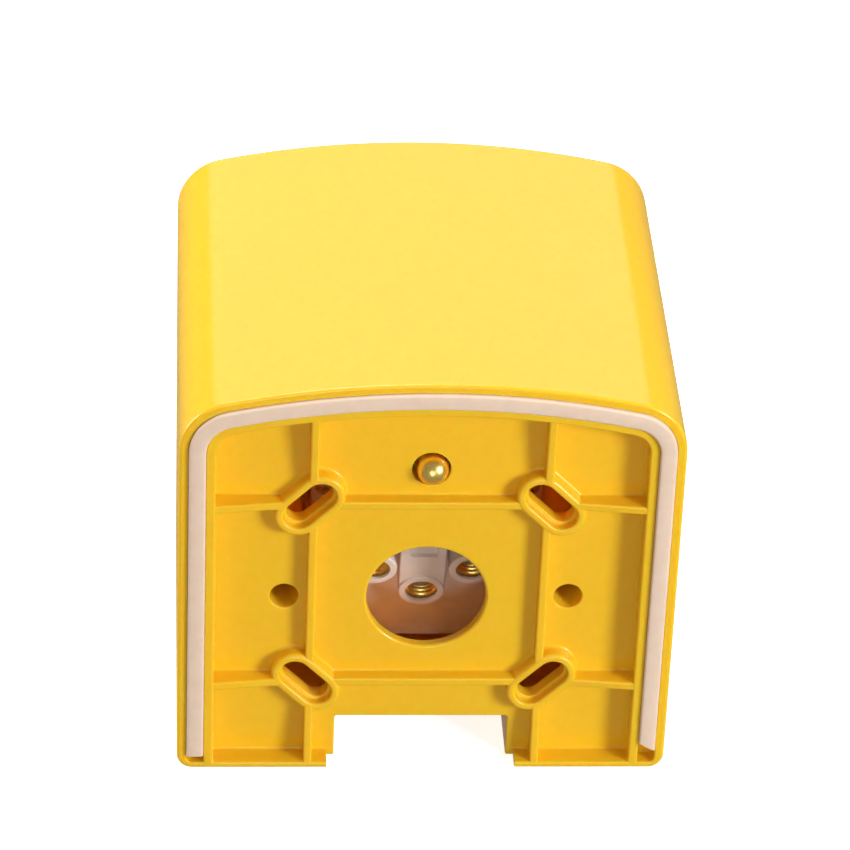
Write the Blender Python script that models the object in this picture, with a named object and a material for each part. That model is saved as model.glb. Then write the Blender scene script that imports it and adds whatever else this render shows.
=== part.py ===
"""Hooded pedestrian push button for a wall or a pole.

A yellow moulded hood has a ribbed back that seals against the wall, and a leaning front
panel that carries the button, its switch, an indicator window and the field terminals.

World frame: +X right seen from the front, -Y to the front, +Z up, origin at the middle of
the footprint.  Lengths are in metres.

Two empties carry the pieces:
  wall_frame   x right, y up, z from the wall plane towards the front
  button_axis  x right, y up along the leaning panel, z outwards along the button's axis
"""
import math

import bmesh
import bpy
from mathutils import Matrix, Vector

MM = 0.001
GAP = 0.3 * MM                      # between pieces that touch on the real object
WELD = 0.002 * MM                   # joins points that a Boolean leaves this close
OVER = 1 * MM                       # how far a cutter runs past the face that it cuts

# Hood: outer size and shape
WIDTH = 125 * MM
DEPTH = 121 * MM
HEIGHT = 116.8 * MM
TOP_RADIUS = 235 * MM               # of the gently arched top
SHOULDER_RADIUS = 14.5 * MM
FOOT_RADIUS = 4 * MM
WALL = 3.5 * MM
FRONT_FILLET = 3 * MM
LIP = 0.4 * MM
SETBACK = 16.5 * MM                 # how far the cheeks' front edge runs back at the bottom

# Hood: the back
FLOOR_DEPTH = 5.9 * MM              # recessed floor, below the wall plane
FLOOR_THICK = 2.5 * MM
RIM = 2.45 * MM                     # outer rim wall
GROOVE = 4.3 * MM
GROOVE_DEPTH = 4.5 * MM
INNER_RIM = 2.4 * MM
SILL = 1.8 * MM                     # bottom wall of the recess
RIB = 2.2 * MM
RIB_LEVEL = 2.25 * MM               # rib tops, below the wall plane
SLOT_BOSS_LEVEL = 2.05 * MM         # the slot bosses stand a little above the ribs
RIB_ROOT = FLOOR_DEPTH + 0.5 * MM
SLOT_X = 30 * MM
SLOT_HEIGHTS = (25.4 * MM, 79.5 * MM)
SLOT_SPAN = 7.9 * MM                # between the two end centres of a slot
SLOT_BOSS_R = 6 * MM
SLOT_MOUTH_R = 3.85 * MM
SLOT_R = 3 * MM
SLOT_LEDGE = 4.5 * MM
RIB_X = 29.1 * MM
RIB_HEIGHTS = (25.6 * MM, 79.7 * MM)
CABLE_HOLE_R = 15.1 * MM
CABLE_HOLE_Z = 49.5 * MM
POST_X = 35.8 * MM
POST_Z = 49.9 * MM
POST_R = 5.5 * MM
POST_BORE_R = 3.6 * MM
POST_HOLE_R = 2.4 * MM
POST_END = 70.5 * MM
POST_SHOULDER = 58.5 * MM
STUD_Z = 88.3 * MM
STUD_R = 4 * MM
STUD_HOLE_R = 4.8 * MM
STUD_BOSS_R = 7.5 * MM
STUD_BOSS_END = 20 * MM
STUD_TIP = 2.1 * MM                 # the stud's round end stands 3.8 mm proud of the floor
STUD_END = 36.5 * MM
NOTCH_HALF = 22.16 * MM
NOTCH_SILL_HALF = 24.16 * MM
NOTCH_HEIGHT = 12.3 * MM
NOTCH_DEPTH = 30 * MM
NOTCH_WALL = 2 * MM
GROMMET_DEPTH = 19 * MM
GROMMET_HOLE_R = 8.5 * MM

# Leaning module
LEAN = math.radians(18)
AXIS_Y = 40.5 * MM                  # the carrier's rear face on the button's axis
AXIS_Z = 51 * MM
PANEL_BACK = 57 * MM                # levels along the button's axis
PANEL_FRONT = 60 * MM
LEDGE_LEVELS = (53.2 * MM, 55.7 * MM)
CUP_R = 29 * MM
CUP_WALL = 2 * MM
CUP_BACK = 44 * MM
CUP_FLOOR = 46.5 * MM
PILLAR_X = 25.5 * MM
PILLAR_YS = (-36 * MM, 24 * MM)
PILLAR_R = 3.2 * MM

# Button
TRAVEL = 3.5 * MM
CAP_R = 27.4 * MM
CAP_LAND_R = 19 * MM
CAP_TOP = 69 * MM
CAP_EDGE = 65.4 * MM
CAP_SKIRT = CUP_FLOOR + TRAVEL + 2.5 * MM
CAP_CEILING = 65.4 * MM
CAP_HUB_END = 52.4 * MM
HUB_R = 7 * MM
STEM_R = 4 * MM
STEM_TIP = 38.65 * MM
CLIP_LEVEL = 40.05 * MM
CLIP_THICK = 0.6 * MM
BUSH_END = 41 * MM
BUSH_TOP = 48.3 * MM
SPRING_R = 11 * MM
SPRING_WIRE_R = 0.6 * MM
SPRING_TURNS = 5
BEZEL_IN = 28.4 * MM
BEZEL_OUT = 36 * MM
BEZEL_TOP = 64.2 * MM
BEZEL_SCREW_R = 33.2 * MM

# Terminals
TERMINAL_CIRCLE_R = 13.2 * MM
TERMINALS = 5
TAG_HEADINGS = (-90, 0, 90, 140, 180)       # which way each solder tag points, in degrees
BOSS_R = 5.95 * MM
BOSS_MOUTH_R = 4.1 * MM
INSERT_R = 4.45 * MM
INSERT_BORE_R = 3.5 * MM
PLATE_LEVELS = (6 * MM, 8.5 * MM)
PLATE_HALF = 29 * MM
PLATE_LOW = -40 * MM
PLATE_HIGH = 27 * MM
POCKET_HALF = 3.7 * MM               # the pocket in the web
POCKET_LOW = 0.3 * MM
POCKET_HIGH = 8 * MM
POCKET_DEPTH = 2.2 * MM
POCKET_HOLE_R = 2.1 * MM
POCKET_HOLE_Y = 5.6 * MM

# Switch, in the module's frame
SWITCH_LEFT = -18 * MM
SWITCH_RIGHT = 9.8 * MM
SWITCH_LEVELS = (17.5 * MM, 33.4 * MM)
SWITCH_HALF = 5.15 * MM
PIVOT_X = -16 * MM
PIVOT_LEVEL = 35.1 * MM
LEVER_RISE = math.radians(10.5)
LEVER_END = 20 * MM                 # from the pivot
PLUNGER_X = -11 * MM
PLUNGER_LEVELS = (30 * MM, 35.45 * MM)
SWITCH_SCREW_XS = (-15.2 * MM, 7 * MM)
SWITCH_SCREW_LEVEL = 20.5 * MM
TAB_XS = (-14 * MM, 6.5 * MM)
BRACKET_THICK = 1.5 * MM
BRACKET_SCREWS = ((-20 * MM, 11 * MM), (-12.5 * MM, 12.5 * MM))

# Indicator
WINDOW_Y = -52 * MM
WINDOW_LONG = 34 * MM
WINDOW_R = 5 * MM
BOARD_LEVELS = (48 * MM, 49.6 * MM)
PEG_X = 23.5 * MM                   # the panel's two pegs that hold the board
PEG_R = 1.5 * MM
LAMP_XS = (-12 * MM, -4 * MM, 4 * MM, 12 * MM)
LEAD_R = 0.8 * MM
LEAD_STEPS = 3                      # between two points of a lead's route

FINE = 32                           # sides of the large round pieces
ROUND = 16                          # sides of the small ones


# ---------------------------------------------------------------- scene helpers

def clear_scene():
    for item in list(bpy.data.objects):
        bpy.data.objects.remove(item, do_unlink=True)


def make_frame(name, origin, turn_x):
    empty = bpy.data.objects.new(name, None)
    empty.location = origin
    empty.rotation_euler = (turn_x, 0, 0)
    empty.empty_display_size = 10 * MM
    bpy.context.scene.collection.objects.link(empty)
    bpy.context.view_layer.update()
    return empty


def make_material(name, colour, roughness, metallic=0.0):
    material = bpy.data.materials.new(name)
    material.use_nodes = True
    shader = material.node_tree.nodes["Principled BSDF"]
    shader.inputs["Base Color"].default_value = (*colour, 1.0)
    shader.inputs["Roughness"].default_value = roughness
    shader.inputs["Metallic"].default_value = metallic
    material.diffuse_color = (*colour, 1.0)
    return material


def make_object(name, shape, parent):
    mesh = bpy.data.meshes.new(name)
    bmesh.ops.recalc_face_normals(shape, faces=shape.faces)
    shape.to_mesh(mesh)
    shape.free()
    item = bpy.data.objects.new(name, mesh)
    bpy.context.scene.collection.objects.link(item)
    item.parent = parent
    return item


def finish(item, material, angle=35):
    """Give a piece its material and smooth round faces."""
    item.data.materials.clear()
    item.data.materials.append(material)
    item.data.shade_smooth()
    item.data.set_sharp_from_angle(angle=math.radians(angle))
    return item


def repeat(name, shape, parent, material, places):
    """Copies of one piece, each its own object on a shared mesh: (x, y, z, turn about z)."""
    first = None
    for number, (x, y, z, heading) in enumerate(places, 1):
        label = f"{name}_{number}"
        if first is None:
            item = first = finish(make_object(label, shape, parent), material)
        else:
            item = bpy.data.objects.new(label, first.data)
            bpy.context.scene.collection.objects.link(item)
            item.parent = parent
        item.location = (x, y, z)
        item.rotation_euler = (0, 0, math.radians(heading))


def combine(item, shape, operation, parent=None):
    """Join a shape to an object, cut it away or keep what both share, and drop the tool."""
    tool = make_object("tool", shape, parent or item.parent)
    tool.hide_render = True
    tool.display_type = "WIRE"
    modifier = item.modifiers.new(operation.lower(), "BOOLEAN")
    modifier.operation = operation
    modifier.solver = "EXACT"
    modifier.object = tool
    bpy.context.view_layer.update()
    result = item.evaluated_get(bpy.context.evaluated_depsgraph_get())
    mesh = bpy.data.meshes.new_from_object(result)
    shape = bmesh.new()
    shape.from_mesh(mesh)
    bmesh.ops.remove_doubles(shape, verts=shape.verts, dist=WELD)
    shape.to_mesh(mesh)
    shape.free()
    item.modifiers.clear()
    item.data = mesh
    bpy.data.objects.remove(tool, do_unlink=True)


def add(item, shape, parent=None):
    combine(item, shape, "UNION", parent)


def cut(item, shape, parent=None):
    combine(item, shape, "DIFFERENCE", parent)


def keep(item, shape, parent=None):
    combine(item, shape, "INTERSECT", parent)


# ---------------------------------------------------------------- outlines (lists of x, y)

def arc(centre, radius, start, end, steps):
    """Points along an arc, angles in degrees, both ends included."""
    points = []
    for i in range(steps + 1):
        angle = math.radians(start + (end - start) * i / steps)
        points.append((centre[0] + radius * math.cos(angle), centre[1] + radius * math.sin(angle)))
    return points


def circle(radius, centre=(0, 0), steps=FINE):
    return arc(centre, radius, 0, 360, steps)[:-1]


def obround(span, radius, centre=(0, 0), turn=0, steps=8):
    """A slot outline: two half circles whose centres are span apart."""
    right = arc((span / 2, 0), radius, -90, 90, steps)
    left = arc((-span / 2, 0), radius, 90, 270, steps)
    c, s = math.cos(math.radians(turn)), math.sin(math.radians(turn))
    return [(centre[0] + c * x - s * y, centre[1] + s * x + c * y) for x, y in right + left]


def rectangle(x0, x1, y0, y1):
    return [(x0, y0), (x1, y0), (x1, y1), (x0, y1)]


def rounded(x0, x1, y0, y1, radius, steps=3):
    points = []
    for cx, cy, start in ((x1, y0, -90), (x1, y1, 0), (x0, y1, 90), (x0, y0, 180)):
        sx = -1 if cx == x1 else 1
        sy = -1 if cy == y1 else 1
        points += arc((cx + sx * radius, cy + sy * radius), radius, start, start + 90, steps)
    return points


def hood_outline(inset=0.0, floor=None, top_steps=16, shoulder_steps=8):
    """The hood's cross-section, inset by a distance: flat foot, upright sides, arched top."""
    half = WIDTH / 2
    shoulder_x = half - SHOULDER_RADIUS
    top_centre = HEIGHT - TOP_RADIUS
    shoulder_z = top_centre + math.sqrt((TOP_RADIUS - SHOULDER_RADIUS) ** 2 - shoulder_x ** 2)
    lean = math.degrees(math.atan2(shoulder_z - top_centre, shoulder_x))
    bottom = inset if floor is None else floor
    foot = FOOT_RADIUS - inset
    if foot > 0:
        right = arc((half - FOOT_RADIUS, bottom + foot), foot, -90, 0, 3)
    else:
        right = [(half - inset, bottom)]
    right += arc((shoulder_x, shoulder_z), SHOULDER_RADIUS - inset, 0, lean, shoulder_steps)
    top = arc((0, top_centre), TOP_RADIUS - inset, lean, 180 - lean, top_steps)[1:-1]
    left = [(-x, z) for x, z in reversed(right)]
    return right + top + left


# ---------------------------------------------------------------- solids (bmesh)

def loft(rings, closed=False):
    """Skin matching rings of points; open lofts get end caps."""
    shape = bmesh.new()
    rows = [[shape.verts.new(point) for point in ring] for ring in rings]
    pairs = list(zip(rows, rows[1:]))
    if closed:
        pairs.append((rows[-1], rows[0]))
    for low, high in pairs:
        for i, vert in enumerate(low):
            after = (i + 1) % len(low)
            shape.faces.new((vert, low[after], high[after], high[i]))
    if not closed:
        shape.faces.new(rows[0])
        shape.faces.new(rows[-1])
    return shape


def prism(outline, low, high):
    return loft([[(x, y, level) for x, y in outline] for level in (low, high)])


def block(x0, x1, y0, y1, low, high):
    return prism(rectangle(x0, x1, y0, y1), low, high)


def rod(radius, low, high, centre=(0, 0), steps=ROUND):
    return prism(circle(radius, centre, steps), low, high)


def turned(profile, steps=FINE):
    """Turn (radius, level) points about z; points on the axis become poles."""
    shape = bmesh.new()
    verts = [shape.verts.new((radius, 0, level)) for radius, level in profile]
    edges = [shape.edges.new(pair) for pair in zip(verts, verts[1:])]
    on_axis = profile[0][0] == 0 and profile[-1][0] == 0
    if not on_axis:
        edges.append(shape.edges.new((verts[-1], verts[0])))
    bmesh.ops.spin(shape, geom=verts + edges, cent=(0, 0, 0), axis=(0, 0, 1),
                   angle=math.tau, steps=steps, use_duplicate=False)
    bmesh.ops.remove_doubles(shape, verts=shape.verts, dist=0.001 * MM)
    return shape


def tube(inner, outer, low, high, steps=FINE):
    return turned([(inner, low), (outer, low), (outer, high), (inner, high)], steps)


def shift(shape, x=0.0, y=0.0, z=0.0):
    bmesh.ops.translate(shape, verts=shape.verts, vec=(x, y, z))
    return shape


def turn(shape, degrees, axis):
    matrix = Matrix.Rotation(math.radians(degrees), 3, axis)
    bmesh.ops.rotate(shape, verts=shape.verts, cent=(0, 0, 0), matrix=matrix)
    return shape


def group(shapes):
    """Several solids in one mesh, still separate bodies."""
    whole = bmesh.new()
    for shape in shapes:
        mesh = bpy.data.meshes.new("part")
        bmesh.ops.recalc_face_normals(shape, faces=shape.faces)
        shape.to_mesh(mesh)
        shape.free()
        whole.from_mesh(mesh)
        bpy.data.meshes.remove(mesh)
    return whole


def pan_screw(head_r, head, shank_r, length, steps=12):
    """A pan-head screw standing on its tip: shank along +z, head on top of z = length."""
    profile = [(0, 0), (shank_r * 0.6, 0), (shank_r, shank_r * 0.5), (shank_r, length),
               (head_r, length), (head_r * 0.8, length + head), (0, length + head)]
    return turned(profile, steps)


def nut(across_r, bore_r, low, high):
    outer = circle(across_r, steps=6)
    hexagon = [Vector(point).lerp(Vector(outer[(i + 1) % 6]), share)
               for i, point in enumerate(outer) for share in (0, 0.5)]
    inner = circle(bore_r, steps=12)
    rings = [[(*p, low) for p in hexagon], [(*p, high) for p in hexagon],
             [(*p, high) for p in inner], [(*p, low) for p in inner]]
    return loft(rings, closed=True)


def wire(name, points, parent, material):
    """A lead along a smooth curve through the given points, in millimetres."""
    curve = bpy.data.curves.new(name, "CURVE")
    curve.dimensions = "3D"
    curve.bevel_depth = LEAD_R
    curve.bevel_resolution = 2
    curve.use_fill_caps = True
    path = smooth_path([Vector(point) * MM for point in points], LEAD_STEPS)
    spline = curve.splines.new("POLY")
    spline.points.add(len(path) - 1)
    for knot, point in zip(spline.points, path):
        knot.co = (*point, 1)
    item = bpy.data.objects.new(name, curve)
    bpy.context.scene.collection.objects.link(item)
    item.parent = parent
    curve.materials.append(material)
    return item


def smooth_path(points, steps):
    """A Catmull-Rom curve through the points."""
    ends = [2 * points[0] - points[1]] + points + [2 * points[-1] - points[-2]]
    path = []
    for a, b, c, d in zip(ends, ends[1:], ends[2:], ends[3:]):
        for i in range(steps):
            t = i / steps
            path.append(0.5 * (2 * b + (c - a) * t + (2 * a - 5 * b + 4 * c - d) * t ** 2
                               + (3 * b - a - 3 * c + d) * t ** 3))
    return path + [points[-1]]


# ---------------------------------------------------------------- hood

def front_depth(z):
    """How far the hood's front edge stands from the wall plane at a height."""
    bend = HEIGHT - TOP_RADIUS + math.sqrt(
        (TOP_RADIUS - SHOULDER_RADIUS) ** 2 - (WIDTH / 2 - SHOULDER_RADIUS) ** 2)
    return DEPTH - SETBACK * max(0.0, bend - z) / bend


def hood_shell():
    """A bucket: outer skin, rounded front edge, inner skin and the back plate."""
    edge = [front_depth(z) for _, z in hood_outline()]
    stations = [(0.0, None, 0.0)]
    for i in range(6):
        angle = math.radians(90 * i / 5)
        stations.append((FRONT_FILLET * (1 - math.cos(angle)), FRONT_FILLET * (1 - math.sin(angle)), 1))
    stations.append((WALL, LIP, 1))
    stations.append((WALL, None, FLOOR_DEPTH + FLOOR_THICK))
    rings = []
    for inset, back, level in stations:
        outline = hood_outline(inset)
        if back is None:
            rings.append([(x, z, level) for x, z in outline])
        else:
            rings.append([(x, z, depth - back) for (x, z), depth in zip(outline, edge)])
    return loft(rings)


def panel_ledge(wall, axis):
    """The leaning ledge inside the hood that the panel's gasket presses on."""
    ledge = make_object("ledge", prism(hood_outline(1.5 * MM), 12 * MM, 115 * MM), wall)
    reach = WIDTH
    keep(ledge, block(-reach, reach, -reach, reach, *LEDGE_LEVELS), axis)
    cut(ledge, prism(hood_outline(7 * MM), 5 * MM, DEPTH))
    shape = bmesh.new()
    shape.from_mesh(ledge.data)
    bpy.data.objects.remove(ledge, do_unlink=True)
    return shape


def back_ribs():
    """Two level and two upright ribs, flat between the slot bosses and rising to the rims."""
    ramp = 36 * MM
    side = WIDTH / 2 - RIM - GROOVE - 1.2 * MM
    across = [(-side, RIB_ROOT), (side, RIB_ROOT), (side, 0), (ramp, RIB_LEVEL),
              (-ramp, RIB_LEVEL), (-side, 0)]
    foot, top = 1 * MM, HEIGHT - 10 * MM
    low, high = RIB_HEIGHTS[0] - 5 * MM, RIB_HEIGHTS[1] + 5 * MM
    upright = [(foot, RIB_ROOT), (top, RIB_ROOT), (top, 0), (high, RIB_LEVEL),
               (low, RIB_LEVEL), (foot, 0)]
    level_ribs = [bar_along_y(across, z - RIB / 2, z + RIB / 2) for z in RIB_HEIGHTS]
    upright_ribs = [bar_along_x(upright, sign * RIB_X - RIB / 2, sign * RIB_X + RIB / 2)
                    for sign in (-1, 1)]
    return group(level_ribs), group(upright_ribs)


def bar_along_y(outline, y0, y1):
    """An (x, level) outline given a thickness along y."""
    return loft([[(x, y, level) for x, level in outline] for y in (y0, y1)])


def bar_along_x(outline, x0, x1):
    """A (y, level) outline given a thickness along x."""
    return loft([[(x, y, level) for y, level in outline] for x in (x0, x1)])


def slot_places():
    """Centre and turn of each fixing slot; each lies across the line to the cable hole."""
    middle = sum(SLOT_HEIGHTS) / 2
    return [((sx * SLOT_X, z), 135 if (sx > 0) == (z > middle) else 45)
            for sx in (-1, 1) for z in SLOT_HEIGHTS]


def groove_outline():
    outer = hood_outline(RIM, floor=SILL)
    inner = hood_outline(RIM + GROOVE, floor=SILL)
    return outer + inner[::-1]


def make_housing(wall, axis, material):
    back = FLOOR_DEPTH + FLOOR_THICK
    housing = make_object("housing", hood_shell(), wall)
    add(housing, panel_ledge(wall, axis))
    add(housing, group([rod(POST_R, back - OVER, POST_END, (x, POST_Z), 24)
                        for x in (-POST_X, POST_X)]
                       + [rod(STUD_BOSS_R, back - OVER, STUD_BOSS_END, (0, STUD_Z), 24)]))
    outer = NOTCH_HALF + NOTCH_WALL
    add(housing, block(-outer, outer, 2 * MM, NOTCH_HEIGHT + NOTCH_WALL,
                       back - OVER, NOTCH_DEPTH + NOTCH_WALL))
    inner = hood_outline(RIM + GROOVE + INNER_RIM, floor=SILL)
    cut(housing, prism(inner, -OVER, FLOOR_DEPTH))
    cut(housing, prism(groove_outline(), -OVER, GROOVE_DEPTH))
    for rib in back_ribs():
        add(housing, rib)
    places = slot_places()
    add(housing, group([prism(obround(SLOT_SPAN, SLOT_BOSS_R, c, a), RIB_ROOT, SLOT_BOSS_LEVEL)
                        for c, a in places]))
    cut(housing, group([prism(obround(SLOT_SPAN, SLOT_MOUTH_R, c, a), -OVER, SLOT_LEDGE)
                        for c, a in places]))
    holes = [prism(obround(SLOT_SPAN, SLOT_R, c, a), 4 * MM, back + OVER) for c, a in places]
    holes.append(rod(CABLE_HOLE_R, 5 * MM, back + OVER, (0, CABLE_HOLE_Z), 40))
    holes.append(rod(STUD_HOLE_R, 5 * MM, 12 * MM, (0, STUD_Z), 20))
    holes += [rod(POST_BORE_R, 5 * MM, POST_SHOULDER, (x, POST_Z), 20) for x in (-POST_X, POST_X)]
    cut(housing, group(holes))
    bores = [rod(POST_HOLE_R, POST_SHOULDER - OVER, POST_END + OVER, (x, POST_Z), ROUND)
             for x in (-POST_X, POST_X)]
    bores.append(rod(STUD_R + GAP, 11 * MM, STUD_BOSS_END + OVER, (0, STUD_Z), 20))
    cut(housing, group(bores))
    cut(housing, block(-NOTCH_HALF, NOTCH_HALF, -OVER, NOTCH_HEIGHT, 5 * MM, NOTCH_DEPTH))
    cut(housing, block(-NOTCH_SILL_HALF, NOTCH_SILL_HALF, -OVER, SILL + 0.5 * MM,
                       -OVER, FLOOR_DEPTH))
    cut(housing, turn_up(rod(GROMMET_HOLE_R, 10 * MM, 16 * MM, steps=24), GROMMET_DEPTH))
    return finish(housing, material)


def turn_up(shape, depth):
    """Stand a shape made along z upright in the wall frame, at a depth."""
    turn(shape, -90, "X")
    return shift(shape, z=depth)


def make_wall_seal(wall, material):
    slack = GAP
    outer = hood_outline(RIM + slack, floor=SILL + slack)
    inner = hood_outline(RIM + GROOVE - slack, floor=SILL + slack)
    shape = prism(outer + inner[::-1], 0.1 * MM, GROOVE_DEPTH - slack)
    finish(make_object("wall_seal", shape, wall), material)


def make_grommet(wall, material):
    """Blind rubber grommet in the notch roof: two flanges and a closed waist."""
    low, high = NOTCH_HEIGHT, NOTCH_HEIGHT + NOTCH_WALL
    waist = GROMMET_HOLE_R - GAP
    flange = GROMMET_HOLE_R + 1.5 * MM
    profile = [(0, low - 0.6 * MM), (waist * 0.8, low - 0.6 * MM), (waist * 0.8, low - 1.5 * MM),
               (flange, low - 1.5 * MM), (flange, low - GAP), (waist, low - GAP),
               (waist, high + GAP), (flange, high + GAP), (flange, high + 1.4 * MM),
               (waist * 0.8, high + 1.8 * MM), (waist * 0.8, high - 0.9 * MM),
               (0, high - 0.9 * MM)]
    shape = turn_up(turned(profile, 24), GROMMET_DEPTH)
    finish(make_object("cable_grommet", shape, wall), material)


# ---------------------------------------------------------------- earth connection

def make_earth(wall, axis, brass, copper, green):
    tip, end = STUD_TIP, STUD_END
    dome = arc((0, tip + STUD_R), STUD_R, -90, 0, 5)
    profile = [(0, tip)] + dome[1:] + [(STUD_R, end - 0.6 * MM), (STUD_R - 0.6 * MM, end), (0, end)]
    stud = make_object("earth_stud", shift(turned(profile, 20), y=STUD_Z), wall)
    finish(stud, brass)
    bore = STUD_R + GAP
    washer = tube(bore, 7.5 * MM, 21.6 * MM, 23 * MM, 20)
    finish(make_object("earth_washer", shift(washer, y=STUD_Z), wall), brass)
    hexagon = nut(7.4 * MM, bore, 23.4 * MM, 29.6 * MM)
    finish(make_object("earth_nut", shift(hexagon, y=STUD_Z), wall), brass)
    lug = ring_lug(20.4 * MM, 21.2 * MM, 6.6 * MM, bore, 10 * MM)
    finish(make_object("earth_lug", shift(turn(lug, -90, "Z"), y=STUD_Z), wall), copper)
    route = ((6.4, 17.2, 11.2), (5.2, 19.5, 11.6), (2.2, 21.2, 12.2), (0, 23.4, 12.4),
             (0, 24.6, 12.9))
    wire("earth_lead", route, axis, green)


# ---------------------------------------------------------------- terminals

def terminal_places():
    """The five terminals, the first at the bottom of the circle."""
    places = []
    for i in range(TERMINALS):
        angle = math.tau * i / TERMINALS
        places.append((TERMINAL_CIRCLE_R * math.sin(angle), -TERMINAL_CIRCLE_R * math.cos(angle)))
    return places


def make_carrier(axis, material):
    low, high = PLATE_LEVELS
    outline = rounded(-PLATE_HALF, PLATE_HALF, PLATE_LOW, PLATE_HIGH, 3 * MM)
    carrier = make_object("terminal_carrier", prism(outline, low, high), axis)
    places = terminal_places()
    web = obround(2 * TERMINAL_CIRCLE_R - 4 * MM, BOSS_R - 0.05 * MM, (0, -2 * MM), 90)
    add(carrier, prism(web, 0.6 * MM, low + 1 * MM))
    add(carrier, group([rod(BOSS_R, 0, low + 1.2 * MM, place, 24) for place in places]))
    cut(carrier, group([rod(BOSS_MOUTH_R, -OVER, 1.2 * MM, place, 16) for place in places]))
    cut(carrier, group([rod(INSERT_R + GAP, 0.9 * MM, high + OVER, place, 16)
                        for place in places]))
    cut(carrier, block(-POCKET_HALF, POCKET_HALF, POCKET_LOW, POCKET_HIGH, -OVER, POCKET_DEPTH))
    cut(carrier, rod(POCKET_HOLE_R, POCKET_DEPTH - OVER, high + OVER, (0, POCKET_HOLE_Y)))
    cut(carrier, group([rod(1.8 * MM, low - OVER, high + OVER, c, 12)
                        for c in pillar_places()]))
    finish(carrier, material)


def pillar_places():
    return [(x, y) for x in (-PILLAR_X, PILLAR_X) for y in PILLAR_YS]


def make_terminals(axis, brass, steel):
    """Threaded sleeves with a solder tag at the front end, and the screws that close them."""
    sleeve = make_object("sleeve", ring_lug(9 * MM, 9.9 * MM, 5.3 * MM, INSERT_BORE_R, 8.6 * MM), axis)
    add(sleeve, tube(INSERT_BORE_R, INSERT_R, 1.3 * MM, 9.3 * MM, 16))
    shape = bmesh.new()
    shape.from_mesh(sleeve.data)
    bpy.data.objects.remove(sleeve, do_unlink=True)
    places = terminal_places()
    spots = [(x, y, 0, heading) for (x, y), heading in zip(places, TAG_HEADINGS)]
    repeat("terminal_insert", shape, axis, brass, spots)
    screw = pan_screw(4.8 * MM, 2.2 * MM, 2.9 * MM, 6.7 * MM)
    repeat("terminal_screw", screw, axis, steel, [(x, y, 3.5 * MM, 0) for x, y in places])


def ring_lug(low, high, ring_r, hole_r, tail):
    """A ring with a flat tail along +x, made from one outline round its hole."""
    half = 1.6 * MM
    spread = math.degrees(math.asin(half / ring_r))
    outer = arc((0, 0), ring_r, spread, 360 - spread, 13) + [(tail, -half), (tail, half)]
    angles = [math.atan2(y, x) for x, y in outer]
    inner = [(hole_r * math.cos(a), hole_r * math.sin(a)) for a in angles]
    rings = [[(*p, low) for p in outer], [(*p, high) for p in outer],
             [(*p, high) for p in inner], [(*p, low) for p in inner]]
    return loft(rings, closed=True)


def make_carrier_screws(axis, steel):
    length = 12 * MM
    screw = turn(pan_screw(2.9 * MM, 1.9 * MM, 1.2 * MM, length), 180, "X")
    level = PLATE_LEVELS[0] - GAP + length
    repeat("carrier_screw", screw, axis, steel, [(*c, level, 0) for c in pillar_places()])


# ---------------------------------------------------------------- front panel

def leaning_plate(name, inset, levels, wall, axis):
    """The hood's inner outline cut by two planes square to the button's axis."""
    plate = make_object(name, prism(hood_outline(inset), 20 * MM, 118 * MM), wall)
    keep(plate, block(-WIDTH, WIDTH, -WIDTH, WIDTH, *levels), axis)
    return plate


def make_panel(wall, axis, material):
    panel = leaning_plate("front_panel", WALL + GAP, (PANEL_BACK, PANEL_FRONT), wall, axis)
    root = PANEL_BACK + 0.5 * MM
    add(panel, rod(CUP_R + CUP_WALL, CUP_BACK, root, steps=FINE), axis)
    cut(panel, rod(CUP_R, CUP_FLOOR, PANEL_FRONT + OVER, steps=FINE), axis)
    cut(panel, rod(7.3 * MM, CUP_BACK - OVER, CUP_FLOOR + OVER, steps=24), axis)
    pillars = pillar_places()
    level = PLATE_LEVELS[1] + 0.4 * MM
    add(panel, group([rod(PILLAR_R, level, root, c, 14) for c in pillars]), axis)
    cut(panel, group([rod(1.5 * MM, level - OVER, 22 * MM, c, 10) for c in pillars]), axis)
    add(panel, group([rod(PEG_R + 1.2 * MM, BOARD_LEVELS[1] + 0.4 * MM, root, c, 12)
                      for c in peg_places()]), axis)
    add(panel, group([rod(PEG_R, BOARD_LEVELS[0] - 1.2 * MM, 52 * MM, c, 12)
                      for c in peg_places()]), axis)
    posts = [rod(5 * MM, POST_END + 0.4 * MM, 95 * MM, (x, POST_Z), 20) for x in (-POST_X, POST_X)]
    add(panel, group(posts), wall)
    cut(panel, block(-WIDTH, WIDTH, -WIDTH, WIDTH, PANEL_FRONT, 90 * MM), axis)
    bores = [rod(2.1 * MM, POST_END, 80.5 * MM, (x, POST_Z), 12) for x in (-POST_X, POST_X)]
    cut(panel, group(bores), wall)
    span = WINDOW_LONG - 2 * WINDOW_R
    cut(panel, prism(obround(span, WINDOW_R + GAP, (0, WINDOW_Y)), PANEL_BACK - OVER,
                     PANEL_FRONT + OVER), axis)
    cut(panel, group([rod(1.55 * MM, PANEL_BACK - OVER, PANEL_FRONT + OVER, c, 10)
                      for c in bezel_screw_places()]), axis)
    cut(panel, group([rod(1.5 * MM, CUP_BACK - OVER, 46.1 * MM, c, 10)
                      for c in BRACKET_SCREWS]), axis)
    finish(panel, material)


def bezel_screw_places():
    return circle(BEZEL_SCREW_R, steps=4)


def make_panel_gasket(wall, axis, material):
    gasket = leaning_plate("panel_gasket", WALL + 0.6 * MM, (56 * MM, 56.7 * MM), wall, axis)
    cut(gasket, prism(hood_outline(6.9 * MM), 10 * MM, DEPTH))
    finish(gasket, material)


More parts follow.
